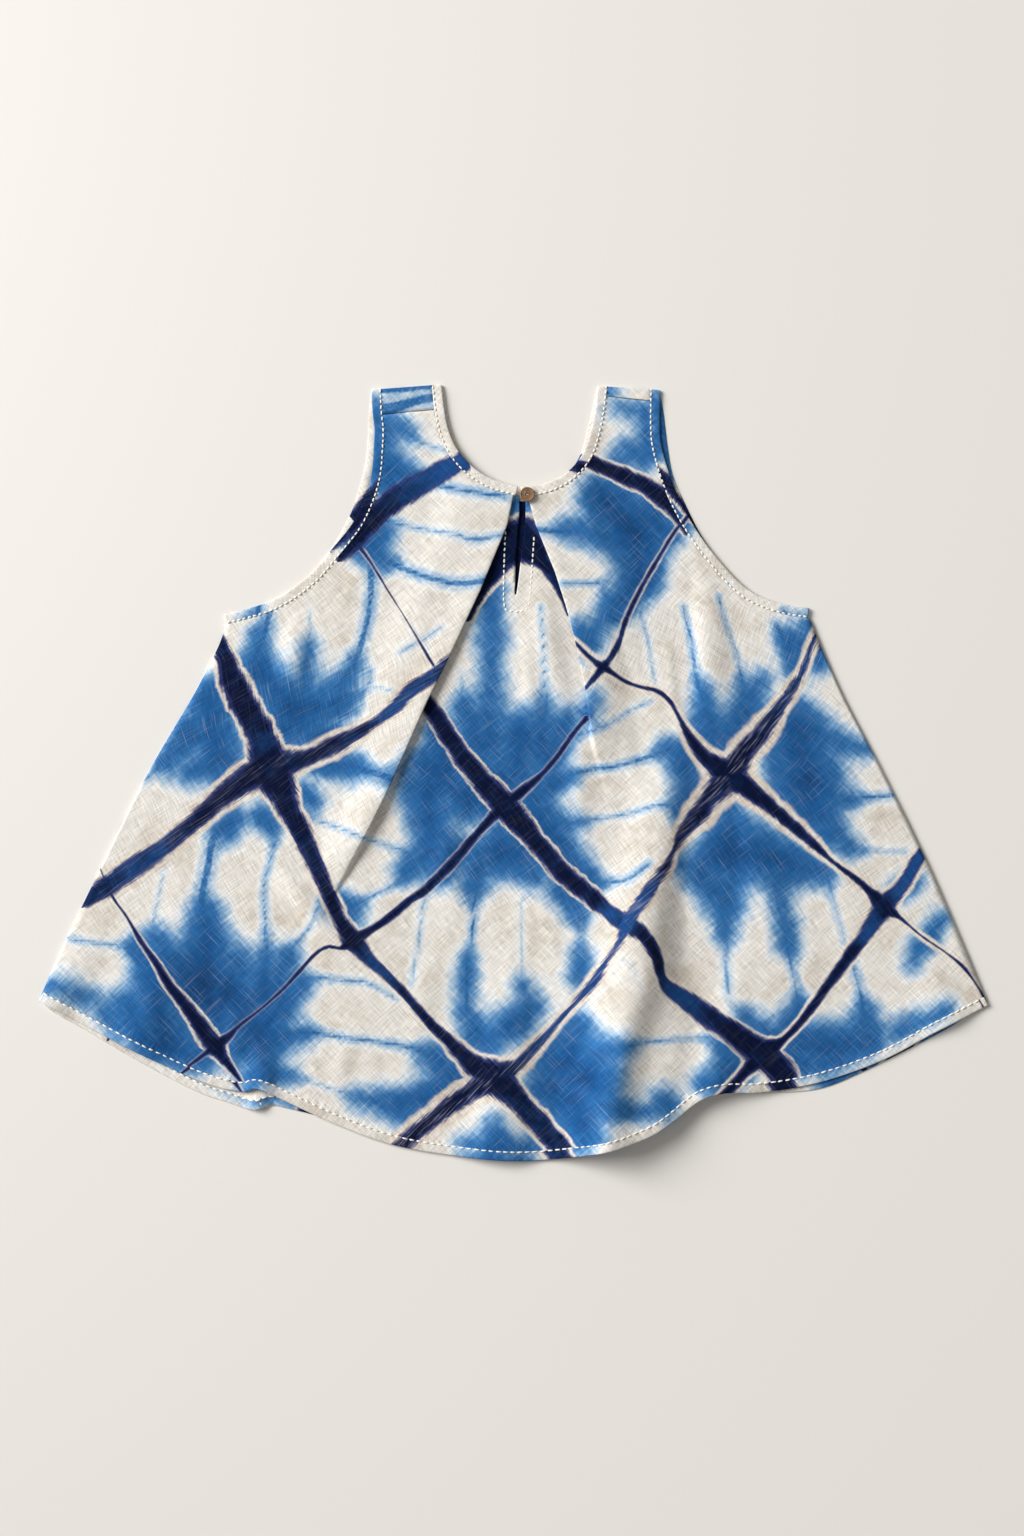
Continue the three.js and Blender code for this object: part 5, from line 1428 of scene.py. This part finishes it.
for k in range(turns):
    for m in range(rings):
        a, b = k * rings + m, k * rings + (m + 1) % rings
        c, d = ((k + 1) % turns) * rings + (m + 1) % rings, ((k + 1) % turns) * rings + m
        button_faces.append([a, d, c, b])
button = mesh_object("wooden_button", np.array(button_points), button_faces)
wood = bpy.data.materials.new("turned wood")
wood.use_nodes = True
wood_tree = wood.node_tree
wood_skin = wood_tree.nodes["Principled BSDF"]
wood_place = node(wood_tree, "ShaderNodeTexCoord").outputs["Object"]
wood_grain = speckle(wood_tree, stretched(wood_tree, wood_place, 25, 0.004, 0.00045), 1.0, 4, 0.6)
wood_share = between(wood_tree, wood_grain, 0.35, 0.65)
wood_colour = blend_colour(wood_tree, wood_share, colour(98, 70, 46), colour(160, 124, 90))
wood_tree.links.new(wood_colour, wood_skin.inputs["Base Color"])
wood_skin.inputs["Roughness"].default_value = 0.55
wood_bump = node(wood_tree, "ShaderNodeBump", {"Height": wood_grain, "Strength": 0.25, "Distance": 0.0002})
wood_tree.links.new(wood_bump.outputs[0], wood_skin.inputs["Normal"])
button.data.materials.append(wood)
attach(button, "root")
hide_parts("button")

# The thread's arch over the eye
KNOT_RADIUS = 0.42
arch_steps, knot_sides = 8, 8
knot_points, knot_faces = [], []
for k in range(arch_steps + 1):
    px, py = BUTTON[0] - 0.5 + 0.12 * k, BUTTON[1] - 0.55 + 0.13 * k
    pz = BUTTON_SEAT + 2.3 - 0.06 * (k - arch_steps / 2) ** 2
    for m in range(knot_sides):
        a = 2 * math.pi * m / knot_sides
        out = KNOT_RADIUS * math.cos(a) * 0.7
        knot_points.append((px + out, py - out, pz + KNOT_RADIUS * math.sin(a)))
for k in range(arch_steps):
    for m in range(knot_sides):
        a, b = k * knot_sides + m, k * knot_sides + (m + 1) % knot_sides
        knot_faces.append([a, b, b + knot_sides, a + knot_sides])
knot_faces.append(list(range(knot_sides))[::-1])
knot_faces.append([arch_steps * knot_sides + m for m in range(knot_sides)])
knot = mesh_object("button_thread", np.array(knot_points), knot_faces)
knot.data.materials.append(thread_material)
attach(knot, "root")


# The table and the light.
# A plain pale surface under soft daylight from the upper left, with the camera straight above.
FLOOR_HALF = 4  # metres
floor_corners = [(x * FLOOR_HALF, y * FLOOR_HALF, 0) for x, y in ((-1, -1), (1, -1), (1, 1), (-1, 1))]
floor_mesh = bpy.data.meshes.new("floor")
floor_mesh.from_pydata(floor_corners, [], [[0, 1, 2, 3]])
floor = bpy.data.objects.new("floor", floor_mesh)
bpy.context.scene.collection.objects.link(floor)
floor_paint = bpy.data.materials.new("pale table")
floor_paint.use_nodes = True
floor_skin = floor_paint.node_tree.nodes["Principled BSDF"]
floor_skin.inputs["Base Color"].default_value = colour(240, 237, 232)
floor_skin.inputs["Roughness"].default_value = 0.9
floor_skin.inputs["Specular IOR Level"].default_value = 0.1
floor_mesh.materials.append(floor_paint)

sky = bpy.data.worlds.new("soft room")
sky.use_nodes = True
sky.node_tree.nodes["Background"].inputs[0].default_value = (1.0, 0.976, 0.945, 1)
sky.node_tree.nodes["Background"].inputs[1].default_value = 0.27
bpy.context.scene.world = sky


def lamp(name, kind, place, strength, tone, **shape):
    """A light at a place, aimed at the middle of the table."""
    data = bpy.data.lights.new(name, kind)
    data.energy = strength
    data.color = tone
    for key, value in shape.items():
        setattr(data, key, value)
    made = bpy.data.objects.new(name, data)
    made.location = place
    made.rotation_mode = "QUATERNION"
    made.rotation_quaternion = (-Vector(place)).to_track_quat("-Z", "Y")
    bpy.context.scene.collection.objects.link(made)


lamp("daylight", "SUN", (-2.2, 1.0, 1.46), 3.0, (1.0, 0.988, 0.974), angle=math.radians(38))
lamp("window", "AREA", (-1.7, 0.9, 1.3), 18, (1.0, 0.99, 0.98), size=0.9)

CAMERA_HEIGHT = 2.6
PICTURE_LENGTH = 1536  # pixels
MM_PER_PIXEL = 0.84  # on the table
camera_data = bpy.data.cameras.new("camera")
camera_data.sensor_fit = "AUTO"
camera_data.sensor_width = 36
camera_data.lens = camera_data.sensor_width * CAMERA_HEIGHT / (PICTURE_LENGTH * MM_PER_PIXEL * MM)
camera = bpy.data.objects.new("camera", camera_data)
camera.location = (-1.6 * MM, 3.56 * MM, CAMERA_HEIGHT)
camera.rotation_euler = (0, 0, 0)
camera_data.clip_start = 0.1
camera_data.clip_end = 20
bpy.context.scene.collection.objects.link(camera)
bpy.context.scene.camera = camera
bpy.context.scene.view_settings.view_transform = "Standard"
